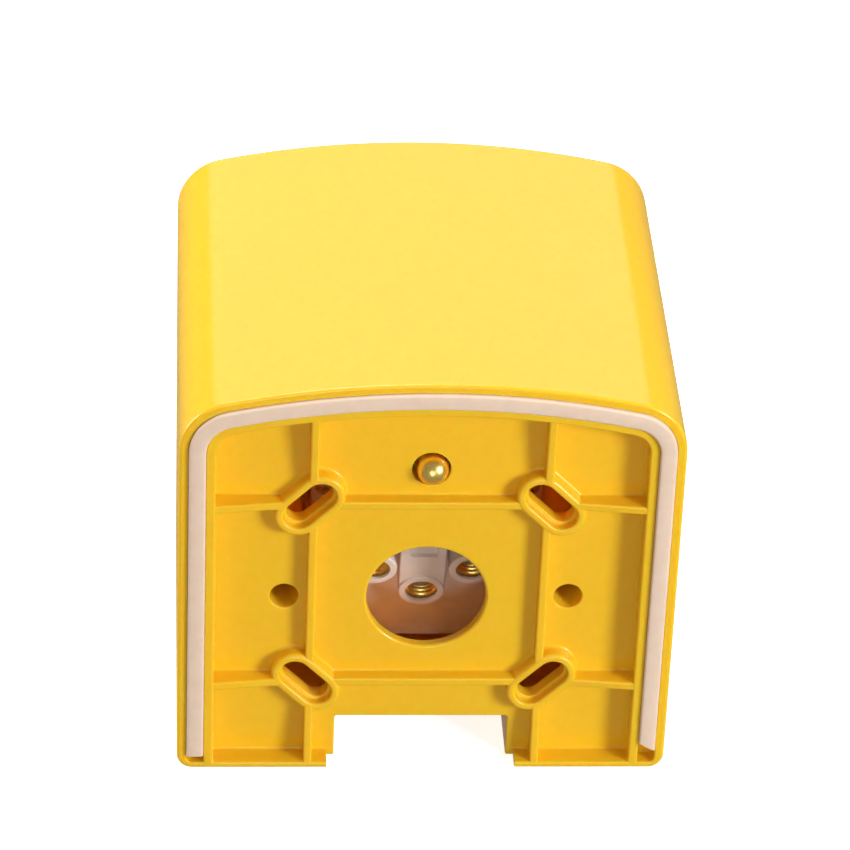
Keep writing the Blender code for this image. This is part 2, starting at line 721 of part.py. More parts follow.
def make_panel_screws(wall, steel):
    """Two long screws in the hood's posts; their heads rest on the posts' shoulders."""
    length = 20 * MM
    screw = turn(pan_screw(3.1 * MM, 2.4 * MM, 1.8 * MM, length), 180, "X")
    level = POST_SHOULDER - GAP + length
    repeat("panel_screw", screw, wall, steel, [(x, POST_Z, level, 0) for x in (-POST_X, POST_X)])


def make_bezel(axis, steel):
    low, high = PANEL_FRONT + GAP, BEZEL_TOP
    profile = [(BEZEL_IN, low), (BEZEL_OUT, low)]
    profile += arc((BEZEL_OUT - 2.2 * MM, high - 2.2 * MM), 2.2 * MM, 0, 90, 4)
    profile += arc((BEZEL_IN + 1.2 * MM, high - 1.2 * MM), 1.2 * MM, 90, 180, 3)
    bezel = make_object("bezel_ring", turned(profile, 40), axis)
    cut(bezel, group([rod(1.55 * MM, low - OVER, 63 * MM, c, 10) for c in bezel_screw_places()]))
    finish(bezel, steel)
    screw = turn(pan_screw(2.2 * MM, 1.6 * MM, 1.2 * MM, 5.7 * MM), 180, "X")
    level = PANEL_BACK - GAP + 5.7 * MM
    repeat("bezel_screw", screw, axis, steel, [(*c, level, 0) for c in bezel_screw_places()])


# ---------------------------------------------------------------- button

def cap_dome():
    """From the flat land down to the cap's rounded edge."""
    crown = []
    for i in range(5):
        share = i / 4
        radius = CAP_LAND_R + (CAP_R - 1.2 * MM - CAP_LAND_R) * share
        crown.append((radius, CAP_TOP - (CAP_TOP - CAP_EDGE - 1 * MM) * share ** 2))
    return crown + [(CAP_R - 0.35 * MM, CAP_EDGE + 0.45 * MM), (CAP_R, CAP_EDGE - 0.4 * MM)]


def make_cap(axis, steel):
    wall_r = CAP_R - 2.2 * MM
    bore = STEM_R + GAP
    profile = [(0, CAP_TOP)] + cap_dome()
    profile += [(CAP_R, CAP_SKIRT), (wall_r, CAP_SKIRT), (wall_r, CAP_CEILING - 1.5 * MM),
                (wall_r - 2 * MM, CAP_CEILING), (HUB_R, CAP_CEILING), (HUB_R, CAP_HUB_END),
                (bore, CAP_HUB_END), (bore, 64.3 * MM), (0, 64.3 * MM)]
    finish(make_object("button_cap", turned(profile, 36), axis), steel)


def make_arrow(axis, material):
    """A raised pointing arrow: head and shaft."""
    head, shaft, half, tail = 13.5 * MM, 3 * MM, 10.5 * MM, -13 * MM
    neck = 1.5 * MM
    outline = [(0, head), (-half, neck), (-shaft, neck), (-shaft, tail), (shaft, tail),
               (shaft, neck), (half, neck)]
    shape = prism(outline, CAP_TOP + GAP, CAP_TOP + 1.7 * MM)
    finish(make_object("arrow_inlay", shape, axis), material)


def make_stem(axis, steel):
    groove = STEM_R - 0.9 * MM
    low, high = CLIP_LEVEL - 0.3 * MM, CLIP_LEVEL + CLIP_THICK + 0.3 * MM
    profile = [(0, STEM_TIP), (1.8 * MM, STEM_TIP + 0.15 * MM), (3.4 * MM, STEM_TIP + 0.6 * MM),
               (STEM_R, low - 0.2 * MM), (STEM_R, low), (groove, low), (groove, high),
               (STEM_R, high), (STEM_R, 63.4 * MM), (STEM_R - 0.5 * MM, 64 * MM), (0, 64 * MM)]
    finish(make_object("button_stem", turned(profile, 24), axis), steel)


def make_bush(axis, material):
    bore = STEM_R + GAP
    profile = [(bore, BUSH_END), (7 * MM, BUSH_END), (7 * MM, CUP_FLOOR + GAP),
               (9 * MM, CUP_FLOOR + GAP), (9 * MM, BUSH_TOP), (bore, BUSH_TOP)]
    finish(make_object("guide_bush", turned(profile, 24), axis), material)


def spring_level(turns):
    """Height of the wire's centre after a number of turns; the end coils lie almost closed."""
    low = CUP_FLOOR + GAP + SPRING_WIRE_R
    high = CAP_CEILING - GAP - SPRING_WIRE_R
    closed = 2.15 * SPRING_WIRE_R
    if turns < 1:
        return low + closed * turns
    if turns > SPRING_TURNS - 1:
        return high - closed * (SPRING_TURNS - turns)
    return low + closed + (high - low - 2 * closed) * (turns - 1) / (SPRING_TURNS - 2)


def make_spring(axis, steel):
    steps = 14
    up = Vector((0, 0, 1))
    rings = []
    for i in range(SPRING_TURNS * steps + 1):
        turns = i / steps
        angle = math.tau * turns
        radial = Vector((math.cos(angle), math.sin(angle), 0))
        centre = radial * SPRING_R + up * spring_level(turns)
        rings.append([centre + (radial * x + up * y) for x, y in circle(SPRING_WIRE_R, steps=6)])
    finish(make_object("return_spring", loft(rings), axis), steel, 60)


def make_clip(axis, steel):
    """An open retaining ring in the stem's groove."""
    inner, outer, opening = STEM_R - 0.6 * MM, 6.4 * MM, 40
    low, high = CLIP_LEVEL, CLIP_LEVEL + CLIP_THICK
    outline = arc((0, 0), outer, opening, 360 - opening, 16)
    outline += arc((0, 0), inner, 360 - opening, opening, 16)
    finish(make_object("retaining_clip", prism(outline, low, high), axis), steel)


def make_button_seal(axis, rubber):
    """A wiper ring between the cap's skirt and the cup, held down by the bezel ring."""
    profile = [(CAP_R + GAP, 58.6 * MM), (27.9 * MM, 56.4 * MM), (28.7 * MM, 56 * MM),
               (28.7 * MM, 59.8 * MM), (27.9 * MM, 59.6 * MM)]
    finish(make_object("button_seal", turned(profile, 32), axis), rubber)


# ---------------------------------------------------------------- switch

def cross_rod(radius, x, level, y0, y1, steps=12):
    """A rod along y at a place in the x-level plane."""
    shape = turn(rod(radius, y0, y1, steps=steps), -90, "X")
    return shift(shape, x=x, z=level)


def make_switch_body(axis, plastic):
    low, high = SWITCH_LEVELS
    body = make_object("switch_body", block(SWITCH_LEFT, SWITCH_RIGHT, -SWITCH_HALF, SWITCH_HALF,
                                            low, high), axis)
    ears = [block(PIVOT_X - 1.7 * MM, PIVOT_X + 1.7 * MM, sign * 4.1 * MM - 0.9 * MM,
                  sign * 4.1 * MM + 0.9 * MM, high - OVER, PIVOT_LEVEL + 1.7 * MM)
            for sign in (-1, 1)]
    add(body, group(ears))
    cut(body, cross_rod(0.9 * MM, PIVOT_X, PIVOT_LEVEL, -7 * MM, 7 * MM))
    cut(body, block(PLUNGER_X - 1.3 * MM, PLUNGER_X + 1.3 * MM, -1.6 * MM, 1.6 * MM,
                    PLUNGER_LEVELS[0] - 1.6 * MM, high + OVER))
    cut(body, group([cross_rod(1.6 * MM, x, SWITCH_SCREW_LEVEL, -7 * MM, 7 * MM)
                     for x in SWITCH_SCREW_XS]))
    finish(body, plastic)


def make_switch_parts(axis, red, steel, brass):
    low, high = PLUNGER_LEVELS
    shape = block(PLUNGER_X - 1 * MM, PLUNGER_X + 1 * MM, -1.3 * MM, 1.3 * MM, low, high)
    finish(make_object("switch_plunger", shape, axis), red)
    pin = cross_rod(0.6 * MM, PIVOT_X, PIVOT_LEVEL, -5.1 * MM, 5.1 * MM)
    finish(make_object("switch_pin", pin, axis), steel)
    tab = block(-0.4 * MM, 0.4 * MM, -2.4 * MM, 2.4 * MM, 13.5 * MM, 17.2 * MM)
    repeat("switch_tab", tab, axis, brass, [(x, 0, 0, 0) for x in TAB_XS])


def make_lever(axis, steel):
    """A rolled barrel on the pin and a flat arm, on an empty that stands on the pin's axis."""
    pivot = bpy.data.objects.new("lever_pivot", None)
    pivot.location = (PIVOT_X, 0, PIVOT_LEVEL)
    pivot.rotation_euler = (0, -LEVER_RISE, 0)
    pivot.parent = axis
    bpy.context.scene.collection.objects.link(pivot)
    lever = make_object("switch_lever", cross_rod(1.3 * MM, 0, 0, -2.3 * MM, 2.3 * MM), pivot)
    add(lever, block(0.9 * MM, LEVER_END, -2 * MM, 2 * MM, -0.25 * MM, 0.25 * MM))
    cut(lever, cross_rod(0.9 * MM, 0, 0, -3 * MM, 3 * MM))
    finish(lever, steel)


def make_bracket(axis, steel):
    near = SWITCH_HALF + GAP
    far = near + BRACKET_THICK
    top = CUP_BACK - GAP
    outline = [(-24 * MM, 19 * MM), (-21 * MM, 17 * MM), (12 * MM, 17 * MM), (12 * MM, 32 * MM),
               (-9.5 * MM, 33 * MM), (-9.5 * MM, top), (-24 * MM, top)]
    bracket = make_object("switch_bracket", bar_along_y(outline, near, far), axis)
    add(bracket, block(-24 * MM, -9.5 * MM, near + 0.5 * MM, 16 * MM, top - BRACKET_THICK, top))
    holes = [cross_rod(1.6 * MM, x, SWITCH_SCREW_LEVEL, near - OVER, far + OVER)
             for x in SWITCH_SCREW_XS]
    holes += [rod(1.5 * MM, top - 3 * MM, top + OVER, c, 10) for c in BRACKET_SCREWS]
    cut(bracket, group(holes))
    finish(bracket, steel)


def make_switch_screws(axis, steel):
    length = 13.4 * MM
    screw = turn(pan_screw(2.4 * MM, 1.7 * MM, 1.25 * MM, length), 90, "X")
    y = length - SWITCH_HALF - GAP
    repeat("switch_screw", screw, axis, steel,
           [(x, y, SWITCH_SCREW_LEVEL, 0) for x in SWITCH_SCREW_XS])
    screw = pan_screw(2.2 * MM, 1.6 * MM, 1.2 * MM, 3.8 * MM, 10)
    level = CUP_BACK - 2 * GAP - BRACKET_THICK + 3.8 * MM
    repeat("bracket_screw", turn(screw, 180, "X"), axis, steel,
           [(*c, level, 0) for c in BRACKET_SCREWS])


# ---------------------------------------------------------------- indicator

def make_indicator(axis, lens, board, lamp):
    span = WINDOW_LONG - 2 * WINDOW_R
    window = prism(obround(span, WINDOW_R, (0, WINDOW_Y)), 55.2 * MM, PANEL_FRONT + 0.8 * MM)
    lens_object = make_object("indicator_lens", window, axis)
    flange = obround(span, WINDOW_R + 2 * MM, (0, WINDOW_Y))
    add(lens_object, prism(flange, 54.7 * MM, PANEL_BACK - GAP))
    finish(lens_object, lens)
    outline = rounded(-27 * MM, 27 * MM, WINDOW_Y - 7 * MM, WINDOW_Y + 7 * MM, 1.5 * MM)
    plate = make_object("led_board", prism(outline, *BOARD_LEVELS), axis)
    cut(plate, group([rod(PEG_R + GAP, BOARD_LEVELS[0] - OVER, BOARD_LEVELS[1] + OVER, c, 12)
                      for c in peg_places()]))
    finish(plate, board)
    base = BOARD_LEVELS[1] + GAP
    bar = make_object("led_bar", prism(rounded(-14 * MM, 14 * MM, WINDOW_Y - 2.8 * MM,
                                               WINDOW_Y + 2.8 * MM, 1 * MM), base, base + 1.6 * MM), axis)
    domes = []
    for x in LAMP_XS:
        profile = [(0, base + 1 * MM), (2.3 * MM, base + 1 * MM), (2.3 * MM, base + 2.6 * MM),
                   (1.6 * MM, base + 3.9 * MM), (0, base + 4.4 * MM)]
        domes.append(shift(turned(profile, 12), x, WINDOW_Y))
    add(bar, group(domes))
    finish(bar, lamp)


def peg_places():
    return [(-PEG_X, WINDOW_Y), (PEG_X, WINDOW_Y)]


def make_leads(axis, red, black, blue, white):
    """Internal leads, in millimetres in the module's frame."""
    wire("lamp_lead_feed", ((0, -22.9, 9.8), (0.5, -24.5, 12), (3, -30, 20), (6, -38, 30),
                            (7, -46, 40), (7, -49, 46.9)), axis, red)
    wire("lamp_lead_return", ((22.3, -4.1, 9.8), (23.6, -5, 12), (24, -12, 18), (20, -26, 26),
                              (15, -40, 36), (13, -48, 43), (13, -49.5, 46.9)), axis, black)
    wire("switch_lead_common", ((7.8, 20.4, 9.8), (8, 21.5, 12), (12, 18, 15), (14.5, 8, 16),
                                (11.5, 1, 15.5), (8.1, 0, 15.4)), axis, blue)
    wire("switch_lead_contact", ((-22.3, -4.1, 9.8), (-23.6, -4.6, 12), (-22.5, -3, 15),
                                 (-19, -0.5, 15.6), (-15.6, 0, 15.4)), axis, white)


# ---------------------------------------------------------------- whole object

def main():
    clear_scene()
    wall = make_frame("wall_frame", (0, DEPTH / 2, 0), math.radians(90))
    axis = make_frame("button_axis", (0, AXIS_Y, AXIS_Z), math.radians(90) - LEAN)

    yellow = make_material("yellow_plastic", (0.93, 0.62, 0.03), 0.28)
    white = make_material("white_plastic", (0.86, 0.82, 0.78), 0.4)
    black = make_material("black_plastic", (0.03, 0.03, 0.035), 0.45)
    cream = make_material("bush_plastic", (0.8, 0.78, 0.7), 0.4)
    foam = make_material("seal_foam", (0.82, 0.7, 0.62), 0.8)
    rubber = make_material("rubber", (0.03, 0.03, 0.03), 0.7)
    brass = make_material("brass", (0.78, 0.57, 0.2), 0.25, 1.0)
    copper = make_material("tinned_copper", (0.75, 0.72, 0.68), 0.35, 1.0)
    steel = make_material("steel", (0.7, 0.7, 0.71), 0.3, 1.0)
    red_lens = make_material("red_lens", (0.6, 0.03, 0.02), 0.15)
    green_board = make_material("circuit_board", (0.02, 0.22, 0.08), 0.4)
    lamp = make_material("lamp_resin", (0.8, 0.1, 0.08), 0.1)

    make_housing(wall, axis, yellow)
    make_wall_seal(wall, foam)
    make_grommet(wall, rubber)
    make_earth(wall, axis, brass, copper, make_material("earth_sleeve", (0.1, 0.45, 0.1), 0.5))

    make_carrier(axis, white)
    make_terminals(axis, brass, steel)
    make_carrier_screws(axis, steel)

    make_panel(wall, axis, yellow)
    make_panel_gasket(wall, axis, rubber)
    make_panel_screws(wall, steel)
    make_bezel(axis, steel)

    make_cap(axis, steel)
    make_arrow(axis, make_material("arrow_plastic", (0.03, 0.03, 0.035), 0.35))
    make_stem(axis, steel)
    make_bush(axis, cream)
    make_spring(axis, steel)
    make_clip(axis, steel)
    make_button_seal(axis, rubber)

    make_switch_body(axis, black)
    make_switch_parts(axis, make_material("plunger_plastic", (0.6, 0.05, 0.05), 0.4), steel, brass)
    make_lever(axis, steel)
    make_bracket(axis, steel)
    make_switch_screws(axis, steel)

    make_indicator(axis, red_lens, green_board, lamp)
    make_leads(axis, make_material("red_sleeve", (0.6, 0.03, 0.03), 0.5), black,
               make_material("blue_sleeve", (0.03, 0.1, 0.5), 0.5),
               make_material("white_sleeve", (0.8, 0.8, 0.8), 0.5))


main()
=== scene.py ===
"""Looks for the hooded pedestrian push button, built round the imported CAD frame.

World frame: +X right seen from the front, -Y to the front, +Z up, in metres.  Two matrices
carry the pieces, as in the CAD model: WALL (x right, y up, z from the wall plane to the
front) and AXIS (x right, y up along the leaning panel, z outwards along the button's axis).
"""
import math

import bmesh
import bpy
from mathutils import Matrix, Vector


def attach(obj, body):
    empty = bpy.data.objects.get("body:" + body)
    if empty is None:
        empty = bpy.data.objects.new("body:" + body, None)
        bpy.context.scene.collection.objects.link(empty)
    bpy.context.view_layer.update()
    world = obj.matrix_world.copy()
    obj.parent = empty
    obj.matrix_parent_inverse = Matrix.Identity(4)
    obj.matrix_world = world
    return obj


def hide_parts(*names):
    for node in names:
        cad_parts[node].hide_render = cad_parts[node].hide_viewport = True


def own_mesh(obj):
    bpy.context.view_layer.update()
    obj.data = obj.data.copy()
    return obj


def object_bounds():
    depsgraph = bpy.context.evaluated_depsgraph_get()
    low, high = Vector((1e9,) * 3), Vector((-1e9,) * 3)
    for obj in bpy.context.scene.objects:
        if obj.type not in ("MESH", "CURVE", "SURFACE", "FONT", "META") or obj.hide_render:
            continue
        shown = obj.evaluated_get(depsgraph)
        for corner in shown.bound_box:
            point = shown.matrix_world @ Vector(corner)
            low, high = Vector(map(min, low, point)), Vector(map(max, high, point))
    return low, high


MM = 0.001
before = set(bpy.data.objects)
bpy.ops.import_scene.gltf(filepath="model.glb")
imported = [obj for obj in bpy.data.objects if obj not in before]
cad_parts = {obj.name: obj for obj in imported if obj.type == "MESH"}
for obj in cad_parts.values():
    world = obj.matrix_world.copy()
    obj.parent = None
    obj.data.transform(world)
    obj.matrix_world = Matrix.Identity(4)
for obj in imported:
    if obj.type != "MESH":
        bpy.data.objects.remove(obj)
CAD_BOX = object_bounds()
LOW, HIGH = CAD_BOX

LEAN = math.radians(18)
WALL = Matrix.Translation((0, HIGH.y, 0)) @ Matrix.Rotation(math.radians(90), 4, "X")
AXIS = (Matrix.Translation((0, 40.5 * MM, 51 * MM))
        @ Matrix.Rotation(math.radians(90) - LEAN, 4, "X"))

# Hood, as in the CAD model
TOP_RADIUS = 235 * MM
SHOULDER_RADIUS = 14.5 * MM
FOOT_RADIUS = 4 * MM
SKIN = 3.5 * MM                     # wall thickness
FRONT_FILLET = 3 * MM
SETBACK = 16.5 * MM                 # of the front edge at the foot
FLOOR = 5.9 * MM                    # the recessed floor, below the wall plane
BACK = 8.4 * MM                     # the floor's inner face
RIM = 2.45 * MM
GROOVE = 4.3 * MM
GROOVE_DEPTH = 4.5 * MM
INNER_RIM = 2.4 * MM
SILL = 1.8 * MM
RIB = 2.2 * MM                      # a rib's thickness
RIB_LEVEL = 2.25 * MM
RIB_X = 29.1 * MM
RIB_ZS = (25.6 * MM, 79.7 * MM)
BOSS_LEVEL = 2.05 * MM
SLOT_X = 30 * MM
SLOT_ZS = (25.4 * MM, 79.5 * MM)
SLOT_SPAN = 7.9 * MM                # between a slot's two round ends
SLOT_R = 3 * MM
SLOT_MOUTH_R = 3.85 * MM
SLOT_BOSS_R = 6 * MM
SLOT_STEP = 4.5 * MM                # where the mouth narrows to the slot
CABLE_HOLE_R = 15.1 * MM
CABLE_HOLE_Z = 49.5 * MM
POST = (35.8 * MM, 49.9 * MM)
POST_R = 5.5 * MM
POST_BORE_R = 3.6 * MM
POST_HOLE_R = 2.4 * MM
POST_SHOULDER = 58.5 * MM
POST_END = 70.5 * MM
STUD_Z = 88.3 * MM
STUD_BOSS_R = 7.5 * MM
STUD_BOSS_END = 20 * MM
STUD_RECESS_R = 4.8 * MM
STUD_RECESS = 12 * MM
STUD_HOLE_R = 4.3 * MM
NOTCH_HALF = 22.16 * MM
NOTCH_HEIGHT = 12.3 * MM
NOTCH_DEPTH = 30 * MM
NOTCH_WALL = 2 * MM
GROMMET_DEPTH = 19 * MM
GROMMET_HOLE_R = 8.5 * MM
LEDGE = (53.2 * MM, 55.7 * MM)      # along the button's axis

# Terminal carrier
PLATE = (6 * MM, 8.5 * MM)          # the plate's two faces
PLATE_HALF = 29 * MM
PLATE_YS = (-40 * MM, 27 * MM)
TERMINALS = 5
TERMINAL_CIRCLE = 13.2 * MM
TERMINAL_BOSS_R = 5.95 * MM
TERMINAL_MOUTH_R = 4.1 * MM
TERMINAL_BORE_R = 4.75 * MM

THREAD_PITCH = 1.25 * MM            # earth stud and terminals
OVER = 1 * MM                       # how far a cutter runs past a face

# Camera
CAMERA_AT = (0.06895, 0.98595, 0.71248)
CAMERA_TURN = (56.775, -2.049, 177.239)   # degrees
CAMERA_LENS = 192.47

SIDES = 96                          # of a round outline
HOOD_SIDE_STEPS = 24                # of each upright side in hood_line
THREAD_STEPS = 8                    # rings for each turn of a thread
WELD = 0.002 * MM                   # points closer than this are one


# ---------------------------------------------------------------- outlines

def arc(centre, radius, start, end, steps):
    """Points along an arc, angles in degrees, both ends included."""
    angles = [math.radians(start + (end - start) * i / steps) for i in range(steps + 1)]
    return [(centre[0] + radius * math.cos(a), centre[1] + radius * math.sin(a)) for a in angles]


def circle(radius, centre=(0, 0), steps=SIDES):
    return arc(centre, radius, 0, 360, steps)[:-1]


def hood_line(inset, end_right, end_left):
    """Up one side of the hood, over its arched top and down the other, at an inset."""
    half = HIGH.x
    shoulder_x = half - SHOULDER_RADIUS
    top_centre = HIGH.z - TOP_RADIUS
    shoulder_z = top_centre + math.sqrt((TOP_RADIUS - SHOULDER_RADIUS) ** 2 - shoulder_x ** 2)
    lean = math.degrees(math.atan2(shoulder_z - top_centre, shoulder_x))
    corner = arc((shoulder_x, shoulder_z), SHOULDER_RADIUS - inset, 0, lean, 20)
    top = arc((0, top_centre), TOP_RADIUS - inset, lean, 180 - lean, 60)[1:-1]
    shares = [i / HOOD_SIDE_STEPS for i in range(HOOD_SIDE_STEPS)]
    side = [(half - inset, end_right + (shoulder_z - end_right) * share) for share in shares]
    other = [(-half + inset, end_left + (shoulder_z - end_left) * share) for share in shares]
    return side + corner + top + [(-x, z) for x, z in reversed(corner)] + other[::-1]


def hood_outline(inset=0.0, foot=None):
    """The hood's whole cross-section at an inset, its foot at a height of its own if stated."""
    half = HIGH.x
    bottom = inset if foot is None else foot
    radius = max(FOOT_RADIUS - inset, 0.4 * MM)
    centre = (half - inset - radius, bottom + radius)
    right = arc(centre, radius, -90, 0, 8)
    line = hood_line(inset, bottom + radius + 2 * MM, bottom + radius + 2 * MM)
    top = line[HOOD_SIDE_STEPS:-HOOD_SIDE_STEPS]
    return right + top + [(-x, z) for x, z in reversed(right)]


def obround(radius, centre, turn):
    """A slot outline, its two half circles SLOT_SPAN apart, turned by an angle in degrees."""
    right = arc((SLOT_SPAN / 2, 0), radius, -90, 90, 20)
    left = arc((-SLOT_SPAN / 2, 0), radius, 90, 270, 20)
    c, s = math.cos(math.radians(turn)), math.sin(math.radians(turn))
    return [(centre[0] + c * x - s * y, centre[1] + s * x + c * y) for x, y in right + left]


def rounded(x0, x1, y0, y1, radius):
    """A rectangle with round corners."""
    corners = [((x1 - radius, y0 + radius), -90), ((x1 - radius, y1 - radius), 0),
               ((x0 + radius, y1 - radius), 90), ((x0 + radius, y0 + radius), 180)]
    return [point for centre, start in corners
            for point in arc(centre, radius, start, start + 90, 6)]


# ---------------------------------------------------------------- edge profiles: (offset, level)

def quarter(steps=5):
    """Angles from 0 to 90 degrees, in radians."""
    return [math.radians(90 * i / steps) for i in range(steps + 1)]


def pocket(top, deep, edge, fillet=0.0):
    """A cutter's side: a rounded mouth edge at top, and a filleted floor at deep."""
    side = [(edge, top - 2 * OVER)]
    side += [(edge * (1 - math.sin(a)), top + edge * (1 - math.cos(a))) for a in quarter()]
    if not fillet:
        return side + [(0, deep)]
    return side + [(-fillet * (1 - math.cos(a)), deep - fillet * (1 - math.sin(a)))
                   for a in quarter()]


def raised(root, floor, top, edge, fillet):
    """The side of a boss or rib from its root: filleted at the floor, rounded at its top."""
    side = [(fillet, root)]
    side += [(fillet * (1 - math.sin(a)), floor - fillet * (1 - math.cos(a))) for a in quarter()]
    return side + [(-edge * (1 - math.cos(a)), top + edge * (1 - math.sin(a))) for a in quarter()]


# ---------------------------------------------------------------- solids (bmesh)

def swept(outline_at, side):
    """A solid from an outline that is offset from level to level; outline_at(offset)."""
    return loft([[(x, y, level) for x, y in outline_at(offset)] for offset, level in side])


def hole(radius, centre, side, steps=64):
    """A round cutter or boss, its radius growing by the side's offsets."""
    return swept(lambda offset: circle(radius + offset, centre, steps), side)


def box(x0, x1, y0, y1, low, high):
    return prism([(x0, y0), (x1, y0), (x1, y1), (x0, y1)], low, high)


def loft(rings, closed=False):
    """Skin matching rings of points; open lofts get end caps."""
    shape = bmesh.new()
    rows = [[shape.verts.new(point) for point in ring] for ring in rings]
    pairs = list(zip(rows, rows[1:]))
    if closed:
        pairs.append((rows[-1], rows[0]))
    for low, high in pairs:
        for i, vert in enumerate(low):
            after = (i + 1) % len(low)
            shape.faces.new((vert, low[after], high[after], high[i]))
    if not closed:
        shape.faces.new(rows[0])
        shape.faces.new(rows[-1])
    return shape


def prism(outline, low, high):
    """An outline given a thickness along z."""
    return loft([[(x, y, level) for x, y in outline] for level in (low, high)])


def turned(profile, sides=SIDES):
    """Turn (radius, level) points about z; points on the axis become poles."""
    shape = bmesh.new()
    verts = [shape.verts.new((radius, 0, level)) for radius, level in profile]
    edges = [shape.edges.new(pair) for pair in zip(verts, verts[1:])]
    if profile[0][0] > 0 or profile[-1][0] > 0:
        edges.append(shape.edges.new((verts[-1], verts[0])))
    bmesh.ops.spin(shape, geom=verts + edges, cent=(0, 0, 0), axis=(0, 0, 1),
                   angle=math.tau, steps=sides, use_duplicate=False)
    bmesh.ops.remove_doubles(shape, verts=shape.verts, dist=0.001 * MM)
    return shape


def softened(profile, radius):
    """Round each corner of an open (radius, level) profile, but not its two ends."""
    steps = 4
    points = [Vector(point) for point in profile]
    line = [points[0]]
    for before, corner, after in zip(points, points[1:], points[2:]):
        reach = min(radius, (before - corner).length * 0.45, (after - corner).length * 0.45)
        start = corner + (before - corner).normalized() * reach
        end = corner + (after - corner).normalized() * reach
        for i in range(steps + 1):
            t = i / steps
            line.append(start * (1 - t) ** 2 + corner * 2 * t * (1 - t) + end * t ** 2)
    return [tuple(point) for point in line + [points[-1]]]


def join(shapes):
    """Several closed shapes in one mesh, still separate bodies."""
    whole = bmesh.new()
    for shape in shapes:
        mesh = bpy.data.meshes.new("part")
        bmesh.ops.recalc_face_normals(shape, faces=shape.faces)
        shape.to_mesh(mesh)
        shape.free()
        whole.from_mesh(mesh)
        bpy.data.meshes.remove(mesh)
    return whole


def combine(shape, other, operation):
    """Boolean of two shapes: UNION, DIFFERENCE or INTERSECT."""
    items = []
    for label, part in (("body", shape), ("tool", other)):
        bmesh.ops.recalc_face_normals(part, faces=part.faces)
        mesh = bpy.data.meshes.new(label)
        part.to_mesh(mesh)
        part.free()
        item = bpy.data.objects.new(label, mesh)
        bpy.context.scene.collection.objects.link(item)
        items.append(item)
    body, tool = items
    modifier = body.modifiers.new("boolean", "BOOLEAN")
    modifier.operation = operation
    modifier.solver = "EXACT"
    modifier.object = tool
    bpy.context.view_layer.update()
    result = body.evaluated_get(bpy.context.evaluated_depsgraph_get())
    whole = bmesh.new()
    whole.from_mesh(result.to_mesh())
    result.to_mesh_clear()
    bmesh.ops.remove_doubles(whole, verts=whole.verts, dist=WELD)
    for item in items:
        bpy.data.objects.remove(item, do_unlink=True)
    return whole


def add(shape, parts):
    return combine(shape, join(parts), "UNION")


def cut(shape, parts):
    return combine(shape, join(parts), "DIFFERENCE")


def placed(shape, matrix):
    bmesh.ops.transform(shape, matrix=matrix, verts=shape.verts)
    return shape


def thread_wave(turns):
    """A rounded V thread's height, 0 to 1, at a number of turns."""
    share = abs((turns % 1) * 2 - 1)
    return share * share * (3 - 2 * share)


def round_point(radius, turns, level):
    """A point on a circle round z, at a number of turns."""
    return radius * math.cos(math.tau * turns), radius * math.sin(math.tau * turns), level


def threaded_rod(radius, depth, pitch, low, high, sides):
    """A closed rod with a helical thread cut into it."""
    rows = round((high - low) / pitch * THREAD_STEPS)
    rings = []
    for j in range(rows + 1):
        level = low + (high - low) * j / rows
        fade = min(1, (high - level) / pitch, (level - low) / pitch)
        ring = []
        for i in range(sides):
            turns = i / sides
            groove = depth * fade * thread_wave(level / pitch - turns)
            reach = radius - groove - depth * 0.6 * (1 - min(1, (level - low) / pitch))
            ring.append(round_point(reach, turns, level))
        rings.append(ring)
    return loft(rings)


def threaded_sleeve(inner, outer, depth, pitch, low, high):
    """A sleeve with a helical thread inside."""
    sides = 48
    rows = round((high - low) / pitch * THREAD_STEPS)
    rings = []
    for j in range(rows + 1):
        level = low + (high - low) * j / rows
        ring = []
        for i in range(sides):
            turns = i / sides
            reach = inner + depth * (1 - thread_wave(level / pitch - turns))
            ring.append(round_point(reach, turns, level))
        rings.append(ring)
    for level in (high, low):
        rings.append([round_point(outer, i / sides, level) for i in range(sides)])
    return loft(rings, closed=True)


# ---------------------------------------------------------------- pieces

def make_piece(name, shape, place, material, angle=35):
    """A mesh object in the world frame, shaded smooth between its sharp edges."""
    mesh = bpy.data.meshes.new(name)
    bmesh.ops.recalc_face_normals(shape, faces=shape.faces)
    shape.to_mesh(mesh)
    shape.free()
    mesh.transform(place)
    mesh.shade_smooth()
    mesh.set_sharp_from_angle(angle=math.radians(angle))
    mesh.materials.append(material)
    piece = bpy.data.objects.new(name, mesh)
    bpy.context.scene.collection.objects.link(piece)
    return piece


def stand_for(piece, node, body="hood"):
    """The piece takes a CAD node's place on its body."""
    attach(piece, body)
    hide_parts(node)


def weight_normals(piece, weight, keep_sharp):
    even = piece.modifiers.new("normals", "WEIGHTED_NORMAL")
    even.keep_sharp = keep_sharp
    even.weight = weight


def painted_node(node, material):
    """A CAD node with its material, its points welded so that modifiers can work on it."""
    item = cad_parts[node]
    item.data.materials.clear()
    item.data.materials.append(material)
    item.data.shade_smooth()
    weld = item.modifiers.new("weld", "WELD")
    weld.merge_threshold = WELD
    return item


def refine(node, material, width, segments=2):
    """A CAD node keeps its shape and gets softly broken edges."""
    item = painted_node(node, material)
    flat = item.modifiers.new("flat", "DECIMATE")
    flat.decimate_type = "DISSOLVE"
    flat.angle_limit = math.radians(0.6)
    edges = item.modifiers.new("edges", "BEVEL")
    edges.width = width
    edges.segments = segments
    edges.limit_method = "ANGLE"
    edges.angle_limit = math.radians(30)
    edges.miter_outer = "MITER_ARC"
    edges.harden_normals = False
    weight_normals(item, 80, False)
    return item


def subdivide(node, material):
    """A CAD tube keeps its course and becomes round."""
    item = painted_node(node, material)
    smooth = item.modifiers.new("smooth", "SUBSURF")
    smooth.levels = smooth.render_levels = 2
    return item


